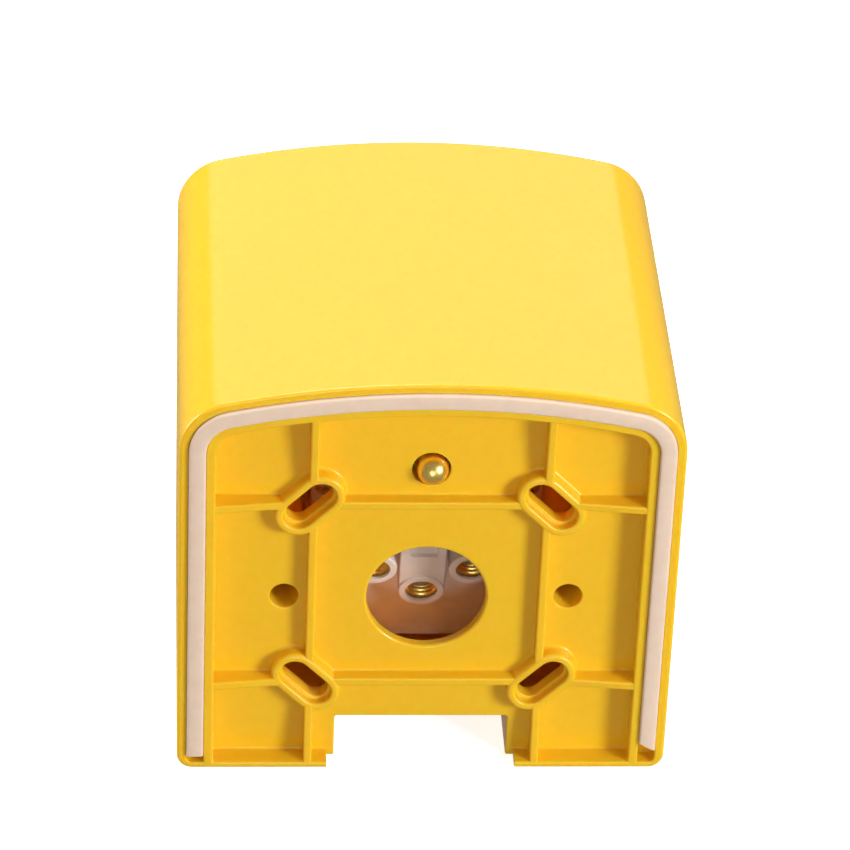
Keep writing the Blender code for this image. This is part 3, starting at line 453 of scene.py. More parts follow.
def local_points(node, place):
    """A CAD node's points in the frame of a matrix."""
    back = place.inverted()
    return [back @ vert.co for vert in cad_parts[node].data.vertices]


def local_box(node, place):
    """A CAD node's lowest and highest corner in the frame of a matrix."""
    points = local_points(node, place)
    low = Vector([min(point[i] for point in points) for i in range(3)])
    high = Vector([max(point[i] for point in points) for i in range(3)])
    return low, high


# ---------------------------------------------------------------- material helpers

def start_material(name, colour, roughness, metallic=0.0, **sockets):
    """A Principled material; other sockets by name, with _ for each blank."""
    material = bpy.data.materials.new(name)
    material.use_nodes = True
    material.diffuse_color = (*colour, 1)
    shader = material.node_tree.nodes["Principled BSDF"]
    shader.inputs["Base Color"].default_value = (*colour, 1)
    shader.inputs["Roughness"].default_value = roughness
    shader.inputs["Metallic"].default_value = metallic
    for label, value in sockets.items():
        shader.inputs[label.replace("_", " ")].default_value = value
    return material


def shader_of(material):
    return material.node_tree.nodes["Principled BSDF"]


def place_texture(material, stretch=(1, 1, 1)):
    """Object coordinates in millimetres, each axis scaled by a factor."""
    tree = material.node_tree
    coordinate = tree.nodes.new("ShaderNodeTexCoord")
    mapping = tree.nodes.new("ShaderNodeMapping")
    mapping.inputs["Scale"].default_value = [s / MM for s in stretch]
    tree.links.new(coordinate.outputs["Object"], mapping.inputs["Vector"])
    return mapping.outputs["Vector"]


def noise(material, size, detail, stretch=(1, 1, 1)):
    """Noise with features of a size in millimetres."""
    texture = material.node_tree.nodes.new("ShaderNodeTexNoise")
    texture.inputs["Scale"].default_value = 1 / size
    texture.inputs["Detail"].default_value = detail
    material.node_tree.links.new(place_texture(material, stretch), texture.inputs["Vector"])
    return texture.outputs["Fac"]


def cells(material, size):
    """Cells of a size in millimetres."""
    texture = material.node_tree.nodes.new("ShaderNodeTexVoronoi")
    texture.inputs["Scale"].default_value = 1 / size
    material.node_tree.links.new(place_texture(material), texture.inputs["Vector"])
    return texture.outputs["Distance"]


def vary_colour(material, factor, dark, light, low=0.35, high=0.65):
    """Colour between two shades along a factor."""
    tree = material.node_tree
    ramp = tree.nodes.new("ShaderNodeValToRGB")
    ramp.color_ramp.elements[0].position = low
    ramp.color_ramp.elements[0].color = (*dark, 1)
    ramp.color_ramp.elements[1].position = high
    ramp.color_ramp.elements[1].color = (*light, 1)
    tree.links.new(factor, ramp.inputs["Fac"])
    tree.links.new(ramp.outputs["Color"], shader_of(material).inputs["Base Color"])


def vary_roughness(material, factor, low, high):
    """Roughness between two values along a factor."""
    tree = material.node_tree
    spread = tree.nodes.new("ShaderNodeMapRange")
    spread.inputs["To Min"].default_value = low
    spread.inputs["To Max"].default_value = high
    tree.links.new(factor, spread.inputs["Value"])
    tree.links.new(spread.outputs["Result"], shader_of(material).inputs["Roughness"])


def add_bump(material, factor, strength, depth):
    """Bump of a depth in millimetres; a second call adds to the first."""
    tree = material.node_tree
    bump = tree.nodes.new("ShaderNodeBump")
    bump.inputs["Strength"].default_value = strength
    bump.inputs["Distance"].default_value = depth * MM
    tree.links.new(factor, bump.inputs["Height"])
    normal = shader_of(material).inputs["Normal"]
    if normal.is_linked:
        tree.links.new(normal.links[0].from_socket, bump.inputs["Normal"])
    tree.links.new(bump.outputs["Normal"], normal)


# ---------------------------------------------------------------- materials

def hood_plastic():
    """Glossy yellow moulded plastic, a little translucent, with a faint orange peel."""
    material = start_material("hood_plastic", (0.9, 0.56, 0.02), 0.2,
                              Subsurface_Weight=0.5, Subsurface_Scale=3 * MM,
                              Subsurface_Radius=(1.0, 0.3, 0.04))
    vary_colour(material, noise(material, 2.5, 3), (0.89, 0.55, 0.018), (0.91, 0.565, 0.021))
    vary_roughness(material, noise(material, 5, 4), 0.18, 0.3)
    add_bump(material, noise(material, 0.6, 2), 0.05, 0.02)
    add_bump(material, noise(material, 8, 2), 0.08, 0.05)
    return material


def plain_plastic(name, colour, roughness, grain=0.5, strength=0.15, **sockets):
    """Moulded plastic with a fine grain."""
    material = start_material(name, colour, roughness, **sockets)
    shade = [c * 0.9 for c in colour]
    vary_colour(material, noise(material, 6, 3), shade, colour)
    vary_roughness(material, noise(material, 2, 3), roughness * 0.85, min(1, roughness * 1.15))
    add_bump(material, noise(material, grain, 3), strength, 0.05)
    return material


def foam():
    """Closed-cell foam strip: pinkish cream, matte, with small cells."""
    material = start_material("seal_foam", (0.8, 0.62, 0.5), 0.8,
                              Subsurface_Weight=0.2, Subsurface_Scale=1.5 * MM,
                              Subsurface_Radius=(1.0, 0.6, 0.4))
    vary_colour(material, noise(material, 3, 4), (0.79, 0.62, 0.49), (0.82, 0.65, 0.52))
    add_bump(material, cells(material, 0.35), 0.3, 0.06)
    return material


def metal(name, colour, roughness, scratch=(1, 1, 1)):
    """Metal with fine marks, drawn out along an axis where scratch is small."""
    material = start_material(name, colour, roughness, 1.0)
    marks = noise(material, 0.4, 4, scratch)
    vary_roughness(material, marks, roughness * 0.75, min(1, roughness * 1.5))
    vary_colour(material, noise(material, 4, 3), [c * 0.9 for c in colour], colour)
    add_bump(material, marks, 0.12, 0.02)
    return material


def lens_plastic(name, colour):
    """Clear tinted plastic."""
    material = start_material(name, colour, 0.08, Transmission_Weight=0.85, IOR=1.49)
    vary_roughness(material, noise(material, 3, 2), 0.05, 0.12)
    add_bump(material, noise(material, 1.5, 2), 0.04, 0.05)
    return material


def board_laminate():
    """Green circuit board with a faint pattern of tracks under the mask."""
    material = start_material("board_laminate", (0.02, 0.2, 0.07), 0.35)
    tracks = noise(material, 2.2, 0, (0.25, 1, 1))
    vary_colour(material, tracks, (0.015, 0.15, 0.05), (0.03, 0.26, 0.1), 0.48, 0.52)
    add_bump(material, tracks, 0.2, 0.03)
    return material


# ---------------------------------------------------------------- hood and its trim

def hood_shell():
    """A bucket with rounded edges: outer skin, front edge, inner skin and back plate."""
    bend = HIGH.z - TOP_RADIUS + math.sqrt((TOP_RADIUS - SHOULDER_RADIUS) ** 2
                                           - (HIGH.x - SHOULDER_RADIUS) ** 2)
    front = HIGH.y - LOW.y
    depths = [front - SETBACK * max(0.0, bend - z) / bend for _, z in hood_outline()]
    rear = 0.8 * MM
    rings = [[(x, z, rear * (1 - math.cos(a))) for x, z in hood_outline(rear * (1 - math.sin(a)))]
             for a in quarter()]
    edge = [(FRONT_FILLET * (1 - math.cos(a)), FRONT_FILLET * (1 - math.sin(a)))
            for a in quarter(8)]
    lip = 0.4 * MM
    edge += [(SKIN - lip * math.cos(a), lip * math.sin(a)) for a in quarter(3)]
    for inset, back in edge:
        rings.append([(x, z, depth - back) for (x, z), depth in zip(hood_outline(inset), depths)])
    rings.append([(x, z, BACK) for x, z in hood_outline(SKIN)])
    return loft(rings)


def panel_ledge():
    """The leaning ledge inside the hood that the panel's gasket presses on."""
    ledge = prism(hood_outline(1.5 * MM), 12 * MM, 115 * MM)
    reach = HIGH.x * 2
    slab = placed(box(-reach, reach, -reach, reach, *LEDGE), WALL.inverted() @ AXIS)
    ledge = combine(ledge, slab, "INTERSECT")
    return combine(ledge, prism(hood_outline(7 * MM), 5 * MM, 121 * MM), "DIFFERENCE")


def rib_bar(ends, middle, across, along_x):
    """A rib: almost level 0 at its ends, RIB_LEVEL between the two middle stations."""
    rim = 0.03 * MM
    line = [(ends[0], rim), (middle[0], RIB_LEVEL), (middle[1], RIB_LEVEL), (ends[1], rim)]
    half = RIB / 2
    rings = []
    for at, top in softened(line, 5 * MM):
        side = raised(FLOOR + 0.8 * MM, FLOOR, top, 0.5 * MM, 0.5 * MM)
        section = [(across + half + offset, level) for offset, level in side]
        section += [(across - half - offset, level) for offset, level in reversed(side)]
        rings.append([(at, y, level) if along_x else (y, at, level) for y, level in section])
    return loft(rings)


def slot_places():
    """Centre and turn of each fixing slot; each lies across the line to the cable hole."""
    middle = sum(SLOT_ZS) / 2
    return [((sx * SLOT_X, z), 135 if (sx > 0) == (z > middle) else 45)
            for sx in (-1, 1) for z in SLOT_ZS]


def slot_solids(radius, side):
    """A boss or cutter of one shape at each fixing slot."""
    return [swept(lambda o, c=c, a=a: obround(radius + o, c, a), side) for c, a in slot_places()]


def groove_ring(offset):
    """The seal's groove, an inverted U with both ends open at the foot."""
    outer = hood_outline(RIM - offset, SILL - offset)
    inner = hood_outline(RIM + GROOVE + offset, SILL - offset)
    return outer + inner[::-1]


def build_hood(material):
    """The yellow moulding with every edge rounded as a mould leaves it."""
    posts = [(-POST[0], POST[1]), (POST[0], POST[1])]
    shape = add(hood_shell(), [panel_ledge()])
    outer = NOTCH_HALF + NOTCH_WALL
    shape = add(shape, [prism(circle(POST_R, spot, 48), BACK - OVER, POST_END) for spot in posts]
                + [prism(circle(STUD_BOSS_R, (0, STUD_Z), 48), BACK - OVER, STUD_BOSS_END)])
    shape = add(shape, [box(-outer, outer, 2 * MM, NOTCH_HEIGHT + NOTCH_WALL,
                            BACK - OVER, NOTCH_DEPTH + NOTCH_WALL)])
    inset = RIM + GROOVE + INNER_RIM
    recess = swept(lambda offset: hood_outline(inset - offset, SILL - offset),
                   pocket(0, FLOOR, 0.5 * MM, 0.6 * MM))
    shape = cut(shape, [recess])
    shape = cut(shape, [swept(groove_ring, pocket(0, GROOVE_DEPTH, 0.45 * MM, 0.3 * MM))])
    reach = HIGH.x - RIM - GROOVE - INNER_RIM / 2
    shape = add(shape, [rib_bar((-reach, reach), (-36 * MM, 36 * MM), z, True) for z in RIB_ZS])
    low, high = RIB_ZS[0] - 5 * MM, RIB_ZS[1] + 5 * MM
    shape = add(shape, [rib_bar((1 * MM, HIGH.z - 10 * MM), (low, high), sx * RIB_X, False)
                        for sx in (-1, 1)])
    boss_side = raised(FLOOR + 0.7 * MM, FLOOR, BOSS_LEVEL, 1 * MM, 0.8 * MM)
    shape = add(shape, slot_solids(SLOT_BOSS_R, boss_side))
    mouth_side = pocket(BOSS_LEVEL, SLOT_STEP, 0.6 * MM, 0.2 * MM)
    shape = cut(shape, slot_solids(SLOT_MOUTH_R, mouth_side))
    slot_side = [(0.25 * MM, 4.4 * MM)] + pocket(SLOT_STEP, BACK + OVER, 0.25 * MM)[1:]
    shape = cut(shape, slot_solids(SLOT_R, slot_side))
    cable_side = pocket(FLOOR, BACK + OVER, 0.8 * MM)
    post_side = pocket(FLOOR, POST_SHOULDER, 0.35 * MM)
    shape = cut(shape, [hole(CABLE_HOLE_R, (0, CABLE_HOLE_Z), cable_side, 128),
                        hole(STUD_RECESS_R, (0, STUD_Z), pocket(FLOOR, STUD_RECESS, 0.3 * MM))]
                + [hole(POST_BORE_R, spot, post_side) for spot in posts])
    shape = cut(shape, [prism(circle(STUD_HOLE_R, (0, STUD_Z), 48),
                              STUD_RECESS - OVER, STUD_BOSS_END + OVER)]
                + [prism(circle(POST_HOLE_R, spot, 32), POST_SHOULDER - OVER, POST_END + OVER)
                   for spot in posts])
    notch = swept(lambda o: rounded(-NOTCH_HALF - o, NOTCH_HALF + o, -3 * MM, NOTCH_HEIGHT + o,
                                    0.8 * MM),
                  pocket(FLOOR, NOTCH_DEPTH, 0.4 * MM, 0.5 * MM))
    shape = cut(shape, [notch])
    shape = cut(shape, [box(-outer, outer, -3 * MM, SILL + 0.5 * MM, -OVER, FLOOR)])
    upright = (Matrix.Translation((0, 0, GROMMET_DEPTH))
               @ Matrix.Rotation(math.radians(-90), 4, "X"))
    grommet_hole = prism(circle(GROMMET_HOLE_R, steps=64), 10 * MM, 16 * MM)
    shape = cut(shape, [placed(grommet_hole, upright)])
    hood = make_piece("hood_moulding", shape, WALL, material, 32)
    weight_normals(hood, 50, True)
    stand_for(hood, "housing")


def carrier_spots():
    """The terminals' centres, the first at the bottom of the circle."""
    turns = [math.tau * i / TERMINALS for i in range(TERMINALS)]
    return [(TERMINAL_CIRCLE * math.sin(a), -TERMINAL_CIRCLE * math.cos(a)) for a in turns]


def build_carrier(material):
    """The pale moulding that holds the terminals."""
    low, high = PLATE
    edge = 0.4 * MM
    sides = [(-edge * (1 - math.sin(a)), low + edge * (1 - math.cos(a))) for a in quarter()]
    sides.append((0, high))
    bottom, top = PLATE_YS
    shape = swept(lambda o: rounded(-PLATE_HALF - o, PLATE_HALF + o, bottom - o, top + o, 3 * MM),
                  sides)
    spots = carrier_spots()
    web = raised(low + 1 * MM, low, 0.6 * MM, 0.4 * MM, 0.5 * MM)
    run = 11.2 * MM
    shape = add(shape, [swept(lambda o: arc((0, -2 * MM + run), 5.9 * MM + o, 0, 180, 24)
                              + arc((0, -2 * MM - run), 5.9 * MM + o, 180, 360, 24), web)])
    boss = raised(low + 1.2 * MM, low, 0, 0.5 * MM, 0.5 * MM)
    shape = add(shape, [hole(TERMINAL_BOSS_R, spot, boss) for spot in spots])
    mouth = pocket(0, 1.2 * MM, 0.25 * MM)
    shape = cut(shape, [hole(TERMINAL_MOUTH_R, spot, mouth) for spot in spots])
    shape = cut(shape, [prism(circle(TERMINAL_BORE_R, spot, 48), 0.9 * MM, high + OVER)
                        for spot in spots])
    well = swept(lambda o: rounded(-3.7 * MM - o, 3.7 * MM + o, 0.3 * MM - o, 8 * MM + o,
                                   0.6 * MM),
                 pocket(0.6 * MM, 2.2 * MM, 0.3 * MM, 0.3 * MM))
    shape = cut(shape, [well])
    shape = cut(shape, [prism(circle(2.1 * MM, (0, 5.6 * MM), 32), 1.2 * MM, high + OVER)])
    corners = [(x, y) for x in (-25.5 * MM, 25.5 * MM) for y in (-36 * MM, 24 * MM)]
    shape = cut(shape, [prism(circle(1.8 * MM, spot, 32), low - OVER, high + OVER)
                        for spot in corners])
    carrier = make_piece("carrier_moulding", shape, AXIS, material, 32)
    weight_normals(carrier, 50, True)
    stand_for(carrier, "terminal_carrier")


def build_seal(material):
    """The foam strip in the groove: proud by about 1 mm, one end square and one cut slanting."""
    slack = 0.03 * MM
    top, bottom = -1.0 * MM, GROOVE_DEPTH - 0.3 * MM
    edge = 0.55 * MM
    shares = [(0, bottom), (0, top + edge)]
    shares += [(x / (GROOVE - 2 * slack), z) for x, z in
               [(edge * (1 - math.cos(a)), top + edge * (1 - math.sin(a)))
                for a in (math.radians(30), math.radians(60), math.radians(90))]]
    crown = [(0.3, top - 0.06 * MM), (0.5, top - 0.09 * MM), (0.7, top - 0.06 * MM)]
    shares += crown + [(1 - share, level) for share, level in reversed(shares)]
    lines = []
    for share, _ in shares:
        inset = RIM + slack + (GROOVE - 2 * slack) * share
        lines.append(hood_line(inset, 4.5 * MM, 6.1 * MM + 2.4 * MM * share))
    rings = [[(x, z, level) for (x, z), (_, level) in zip(station, shares)]
             for station in zip(*lines)]
    seal = make_piece("wall_seal_strip", loft(rings), WALL, material, 50)
    stand_for(seal, "wall_seal")


def build_grommet(material):
    """The blind grommet in the notch's roof, as large as its CAD node."""
    low, high = local_box("cable_grommet", Matrix())
    middle = (low + high) / 2
    centre = Matrix.Translation((middle.x, middle.y, low.z))
    radius, tall = (high.x - low.x) / 2, high.z - low.z
    waist = radius - 1.8 * MM
    half = [(0, 0.9 * MM), (2.2 * MM, 0.9 * MM), (2.5 * MM, 0.7 * MM), (4.6 * MM, 0.7 * MM),
            (4.9 * MM, 0.9 * MM), (waist * 0.82, 0.9 * MM), (waist * 0.9, 0), (radius, 0),
            (radius, 1.2 * MM), (waist, 1.25 * MM), (waist, tall - 1.5 * MM),
            (radius, tall - 1.5 * MM), (radius, tall - 0.4 * MM), (waist * 0.85, tall),
            (waist * 0.8, tall - 2.6 * MM), (0, tall - 2.6 * MM)]
    grommet = make_piece("cable_grommet_moulding", turned(softened(half, 0.25 * MM)), centre,
                         material)
    stand_for(grommet, "cable_grommet")


def build_stud(material):
    """The brass earth stud: a round rear end, threaded at its inner end."""
    low, high = local_box("earth_stud", WALL)
    middle = (low + high) / 2
    radius = (high.x - low.x) / 2
    place = WALL @ Matrix.Translation((middle.x - 0.25 * MM, middle.y, 0))
    dome = [(radius * math.sin(a), low.z + radius * (1 - math.cos(a))) for a in quarter(20)]
    body = turned(dome + [(radius, 20 * MM), (0, 20 * MM)])
    thread = threaded_rod(radius, 0.5 * MM, THREAD_PITCH, 20 * MM, high.z, 48)
    stud = make_piece("earth_stud_turned", join([body, thread]), place, material, 50)
    stand_for(stud, "earth_stud")


def screw_shape(head_r, head, shank_r, length):
    """A pan-head screw standing on its tip, with a cross recess and a thread."""
    rim = [(0, length - head), (head_r, length - head), (head_r, length - head * 0.55),
           (head_r * 0.72, length - head * 0.1), (0, length)]
    head_shape = turned(softened(rim, head * 0.3), 48)
    wide = head_r * 0.55
    narrow = wide * 0.26
    outline = [(wide, -narrow), (wide, narrow), (-wide, narrow), (-wide, -narrow)]
    deep = [(x * 0.35, y * 0.5, length - head * 0.75) for x, y in outline]
    for turn in (0, 90):
        arm = loft([[(x, y, length + 1 * MM) for x, y in outline], deep])
        bmesh.ops.rotate(arm, verts=arm.verts, cent=(0, 0, 0),
                         matrix=Matrix.Rotation(math.radians(turn), 3, "Z"))
        head_shape = combine(head_shape, arm, "DIFFERENCE")
    shank = threaded_rod(shank_r, shank_r * 0.22, 0.7 * MM, 0, length - head + 0.05 * MM, 24)
    return join([head_shape, shank])


def build_screws(steel):
    """Every screw in place of its CAD node, its size taken from it."""
    back = Matrix.Rotation(math.radians(180), 4, "X")
    side = AXIS @ Matrix.Rotation(math.radians(-90), 4, "X")
    # name, count, frame, head height and shank radius in millimetres, head at the frame's +z
    kinds = [("terminal_screw", TERMINALS, AXIS, 2.2, 2.9, True),
             ("carrier_screw", 4, AXIS, 1.9, 1.2, False),
             ("panel_screw", 2, WALL, 2.4, 1.8, False),
             ("bezel_screw", 4, AXIS, 1.6, 1.2, False),
             ("bracket_screw", 2, AXIS, 1.6, 1.2, False),
             ("switch_screw", 2, side, 1.7, 1.25, False)]
    for name, count, place, head, shank, head_up in kinds:
        for number in range(1, count + 1):
            node = f"{name}_{number}"
            upright = place if head_up else place @ back
            low, high = local_box(node, upright)
            middle = (low + high) / 2
            head_r, length = (high.x - low.x) / 2, high.z - low.z
            shape = screw_shape(head_r, head * MM, shank * MM, length)
            spot = upright @ Matrix.Translation((middle.x, middle.y, low.z))
            piece = make_piece(f"{node}_cut", shape, spot, steel)
            stand_for(piece, node)


# ---------------------------------------------------------------- terminals

def build_inserts(brass):
    """Threaded brass sleeves; the solder tags stay as in the CAD model."""
    for number in range(1, TERMINALS + 1):
        node = f"terminal_insert_{number}"
        centre = insert_centre(node)
        tag = plate_of(node, 8.9 * MM)
        sleeve = threaded_sleeve(3.35 * MM, 4.45 * MM, 0.55 * MM, THREAD_PITCH,
                                 1.3 * MM, 9.05 * MM)
        bmesh.ops.translate(sleeve, verts=sleeve.verts, vec=(centre.x, centre.y, 0))
        piece = make_piece(f"{node}_sleeve", join([sleeve, tag]), AXIS, brass)
        stand_for(piece, node)


def insert_centre(node):
    """Centre of a terminal sleeve, from the CAD points at its open end."""
    mouth = [point for point in local_points(node, AXIS) if point.z < 2 * MM]
    middle = [(min(p[i] for p in mouth) + max(p[i] for p in mouth)) / 2 for i in (0, 1)]
    return Vector(middle + [0])


def plate_of(node, level):
    """What of a CAD node lies above a level of the module, as a shape of its own."""
    shape = bmesh.new()
    shape.from_mesh(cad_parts[node].data)
    bmesh.ops.transform(shape, matrix=AXIS.inverted(), verts=shape.verts)
    bmesh.ops.remove_doubles(shape, verts=shape.verts, dist=WELD)
    split = bmesh.ops.bisect_plane(shape, geom=shape.verts[:] + shape.edges[:] + shape.faces[:],
                                   plane_co=(0, 0, level), plane_no=(0, 0, 1), clear_inner=True)
    rim = [edge for edge in split["geom_cut"] if isinstance(edge, bmesh.types.BMEdge)]
    bmesh.ops.holes_fill(shape, edges=rim)
    return shape


# ---------------------------------------------------------------- button

def build_button(steel, brushed, rubber, cream, spring_steel, arrow_plastic):
    """The button's turned pieces, each from a (radius, level) profile in millimetres."""
    cap = [(0, 69), (8, 69.02), (14, 68.95), (19, 68.7), (22, 68.15), (24.5, 67.25), (26.3, 66.25),
           (27.15, 65.6), (27.4, 64.9), (27.4, 52.5), (25.2, 52.5), (25.2, 63.9), (23.2, 65.2),
           (7, 65.2), (7, 52.4), (4.3, 52.4), (4.3, 64.3), (0, 64.3)]
    shape = turned(softened(scaled(cap), 0.25 * MM), 128)
    piece = make_piece("button_cap_turned", shape, AXIS, brushed)
    stand_for(piece, "button_cap", "button")
    stem = [(0, 38.65), (1.8, 38.75), (3.4, 39.2), (4, 39.6), (4, 39.75), (3.1, 39.75),
            (3.1, 40.95), (4, 40.95), (4, 63.4), (3.5, 64), (0, 64)]
    shape = turned(softened(scaled(stem), 0.15 * MM), 64)
    piece = make_piece("button_stem_turned", shape, AXIS, steel)
    stand_for(piece, "button_stem", "button")
    ring = [(28.4, 60.3), (36, 60.3), (36, 62.4), (35.6, 63.4), (34.5, 64.05), (33, 64.2),
            (30, 64.2), (29, 63.9), (28.4, 63.2), (28.4, 60.4)]
    shape = turned(softened(scaled(ring), 0.4 * MM), 160)
    piece = make_piece("bezel_ring_turned", shape, AXIS, brushed)
    stand_for(piece, "bezel_ring")
    wiper = [(27.7, 58.6), (27.95, 56.4), (28.3, 56), (28.7, 56.2), (28.7, 59.8), (28.2, 59.9),
             (27.75, 59)]
    piece = make_piece("button_seal_moulding", turned(scaled(wiper), 128), AXIS, rubber, 50)
    stand_for(piece, "button_seal")
    bush = [(4.3, 41), (7, 41), (7, 46.8), (9, 46.8), (9, 48.3), (4.3, 48.3), (4.3, 41.1)]
    shape = turned(softened(scaled(bush), 0.3 * MM), 64)
    piece = make_piece("guide_bush_turned", shape, AXIS, cream)
    stand_for(piece, "guide_bush")
    build_spring(spring_steel)
    arrow = refine("arrow_inlay", arrow_plastic, 0.35 * MM, 3)
    refine("retaining_clip", steel, 0.1 * MM)


def scaled(profile):
    """A profile in millimetres, brought to metres."""
    return [(radius * MM, level * MM) for radius, level in profile]


def build_spring(steel):
    """Return spring with closed end coils."""
    radius, wire_r, turns, steps = 11 * MM, 0.6 * MM, 5, 48
    low, high = 46.8 * MM + wire_r, 65.1 * MM - wire_r
    closed = 2.15 * wire_r
    middle_pitch = (high - low - 2 * closed) / (turns - 2)
    rings = []
    for i in range(turns * steps + 1):
        at = i / steps
        if at < 1:
            level = low + closed * at
        elif at > turns - 1:
            level = high - closed * (turns - at)
        else:
            level = low + closed + middle_pitch * (at - 1)
        radial = Vector((math.cos(math.tau * at), math.sin(math.tau * at), 0))
        centre = radial * radius + Vector((0, 0, level))
        rings.append([centre + radial * x + Vector((0, 0, y)) for x, y in circle(wire_r, steps=12)])
    spring = make_piece("return_spring_coil", loft(rings), AXIS, steel, 60)
    stand_for(spring, "return_spring")
    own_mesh(spring)


# ---------------------------------------------------------------- the rest of the module

def refine_nodes(paints):
    """CAD nodes that keep their shape: material, width of the broken edges and slot."""
    jobs = [
        ("front_panel", "yellow", 0.4, "yellow_plastic"),
        ("panel_gasket", "rubber", 0.15, "rubber"),
        ("earth_nut", "brass", 0.3, "brass"),
        ("earth_washer", "brass", 0.15, "brass"),
        ("earth_lug", "tin", 0.12, "tinned_copper"),
        ("indicator_lens", "lens", 0.5, "red_lens"),
        ("led_board", "board", 0.1, "circuit_board"),
        ("led_bar", "lamp", 0.3, "lamp_resin"),
        ("switch_body", "black", 0.4, "black_plastic"),
        ("switch_bracket", "steel", 0.25, "steel"),
        ("switch_lever", "steel", 0.1, "steel"),
        ("switch_pin", "steel", 0.12, "steel"),
        ("switch_plunger", "red", 0.25, "plunger_plastic"),
        ("switch_tab_1", "brass", 0.12, "brass"),
        ("switch_tab_2", "brass", 0.12, "brass"),
    ]
    for node, paint, width, slot in jobs:
        refine(node, paints[paint], width * MM, 3 if width > 0.3 else 2)
    leads = [("earth_lead", "green_sleeve", "earth_sleeve"),
             ("lamp_lead_feed", "red_sleeve", "red_sleeve"),
             ("lamp_lead_return", "black_sleeve", "black_sleeve"),
             ("switch_lead_common", "blue_sleeve", "blue_sleeve"),
             ("switch_lead_contact", "white_sleeve", "white_sleeve")]
    for node, paint, slot in leads:
        subdivide(node, paints[paint])


def make_paints():
    """Every material, by the short name the pieces ask for."""
    sleeve = {name: plain_plastic(name, colour, 0.45, 0.3, 0.1) for name, colour in (
        ("green_sleeve", (0.12, 0.42, 0.06)), ("red_sleeve", (0.55, 0.02, 0.02)),
        ("black_sleeve", (0.02, 0.02, 0.02)), ("blue_sleeve", (0.02, 0.07, 0.42)),
        ("white_sleeve", (0.75, 0.74, 0.7)))}
    turning = (1, 1, 0.03)
    paints = {
        "yellow": hood_plastic(),
        "white": plain_plastic("carrier_plastic", (0.9, 0.79, 0.72), 0.38, 0.5, 0.1,
                               Subsurface_Weight=0.15, Subsurface_Scale=2 * MM),
        "black": plain_plastic("panel_plastic", (0.018, 0.018, 0.02), 0.45, 0.45, 0.6),
        "cream": plain_plastic("bush_plastic", (0.75, 0.72, 0.62), 0.4),
        "rubber": plain_plastic("rubber", (0.02, 0.02, 0.02), 0.7, 0.4, 0.3),
        "foam": foam(),
        "brass": metal("brass", (1.0, 0.76, 0.22), 0.28, turning),
        "tin": metal("tinned_copper", (0.75, 0.73, 0.7), 0.35),
        "steel": metal("zinc_steel", (0.66, 0.66, 0.68), 0.32),
        "brushed": metal("brushed_stainless", (0.62, 0.62, 0.63), 0.3, (0.04, 1, 1)),
        "spring": metal("spring_steel", (0.5, 0.5, 0.52), 0.28),
        "arrow": plain_plastic("arrow_plastic", (0.02, 0.02, 0.022), 0.3),
        "lens": lens_plastic("lens_plastic", (0.75, 0.03, 0.015)),
        "lamp": lens_plastic("lamp_resin", (0.85, 0.2, 0.12)),
        "board": board_laminate(),
        "red": plain_plastic("plunger_plastic", (0.5, 0.03, 0.02), 0.35),
    }
    return {**paints, **sleeve}


# ---------------------------------------------------------------- floor, lights, camera

def aim(item, target):
    """Turn a light towards a point."""
    item.rotation_euler = (Vector(target) - item.location).to_track_quat("-Z", "Y").to_euler()


def add_light(name, place, size, power):
    """A round white sheet of light, aimed at the middle of the object; metres and watts."""
    data = bpy.data.lights.new(name, "AREA")
    data.shape = "DISK"
    data.size = size
    data.energy = power
    light = bpy.data.objects.new(name, data)
    light.location = place
    bpy.context.scene.collection.objects.link(light)
    aim(light, (0, 0, 60 * MM))


def add_glow(name, place, power, colour):
    """Daylight that soaks through the yellow walls into the closed hood."""
    data = bpy.data.lights.new(name, "POINT")
    data.energy = power
    data.color = colour
    data.shadow_soft_size = 8 * MM
    light = bpy.data.objects.new(name, data)
    light.location = place
    bpy.context.scene.collection.objects.link(light)


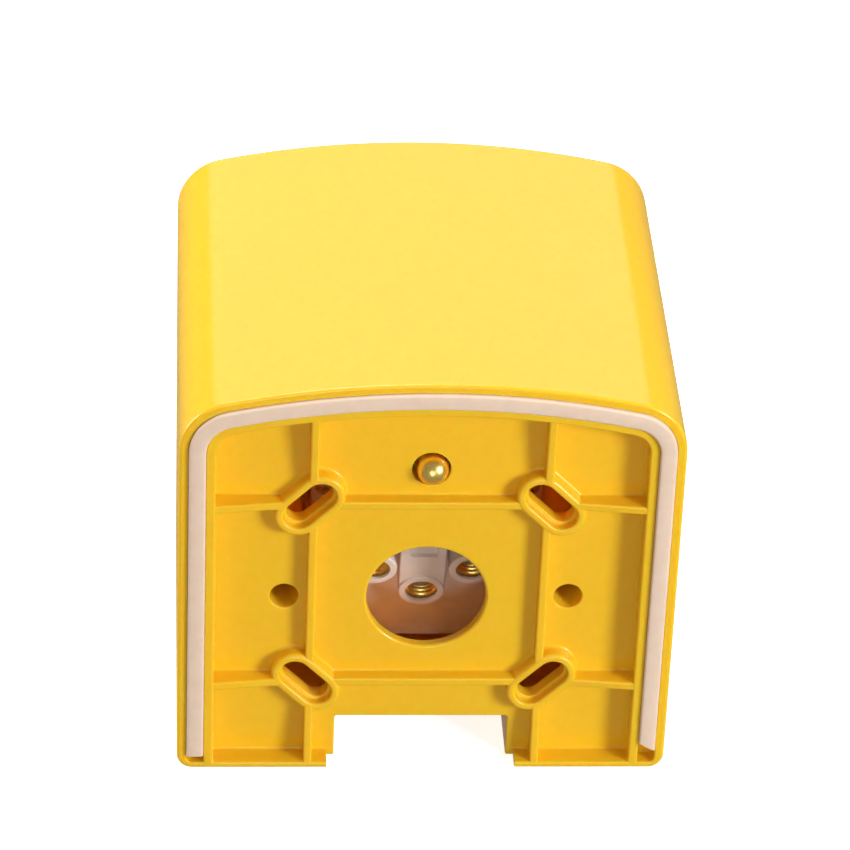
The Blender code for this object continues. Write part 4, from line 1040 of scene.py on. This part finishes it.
def build_stage():
    """A pale floor, a dim warm room, the lights and the camera of the photograph."""
    floor_shape = prism(circle(4, steps=64), -20 * MM, 0)
    paper = start_material("pale_floor", (0.93, 0.93, 0.93), 0.9)
    shader_of(paper).inputs["Emission Color"].default_value = (1, 1, 1, 1)
    shader_of(paper).inputs["Emission Strength"].default_value = 0.8
    floor = make_piece("pale_floor", floor_shape, Matrix.Translation((0, 0, -0.3 * MM)), paper)
    # Seen only directly: no reflection of it and no light bounced from it onto the object.
    floor.visible_glossy = False
    floor.visible_diffuse = False
    world = bpy.data.worlds.new("studio")
    world.use_nodes = True
    sky = world.node_tree.nodes["Background"]
    sky.inputs["Color"].default_value = (1, 0.88, 0.76, 1)
    sky.inputs["Strength"].default_value = 0.3
    bpy.context.scene.world = world
    add_light("key", (-1.1, 1.0, 0.5), 0.5, 18.5)
    add_light("rear", (0.1, 1.5, 0.1), 0.6, 4.6)
    add_light("left", (1.3, -0.35, 0.35), 0.8, 15)
    add_glow("glow_high", (0, 25 * MM, 96 * MM), 0.014, (1, 0.31, 0.045))
    add_glow("glow_low", (8 * MM, 40 * MM, 22 * MM), 0.0028, (1, 0.45, 0.17))
    add_light("top", (0.15, -0.15, 1.4), 0.7, 11)
    add_light("front_sheet", (0, -1.3, 0.95), 1.6, 7)
    camera = bpy.data.objects.new("camera", bpy.data.cameras.new("camera"))
    camera.location = CAMERA_AT
    camera.rotation_euler = [math.radians(angle) for angle in CAMERA_TURN]
    camera.data.lens = CAMERA_LENS
    camera.data.sensor_width = 36
    bpy.context.scene.collection.objects.link(camera)
    bpy.context.scene.camera = camera
    bpy.context.scene.view_settings.view_transform = "Standard"


def main():
    paints = make_paints()
    refine_nodes(paints)
    build_hood(paints["yellow"])
    build_carrier(paints["white"])
    build_seal(paints["foam"])
    build_grommet(paints["rubber"])
    build_stud(paints["brass"])
    build_screws(paints["steel"])
    build_inserts(paints["brass"])
    build_button(paints["steel"], paints["brushed"], paints["rubber"], paints["cream"],
                 paints["spring"], paints["arrow"])
    build_stage()


main()
bpy.context.view_layer.update()
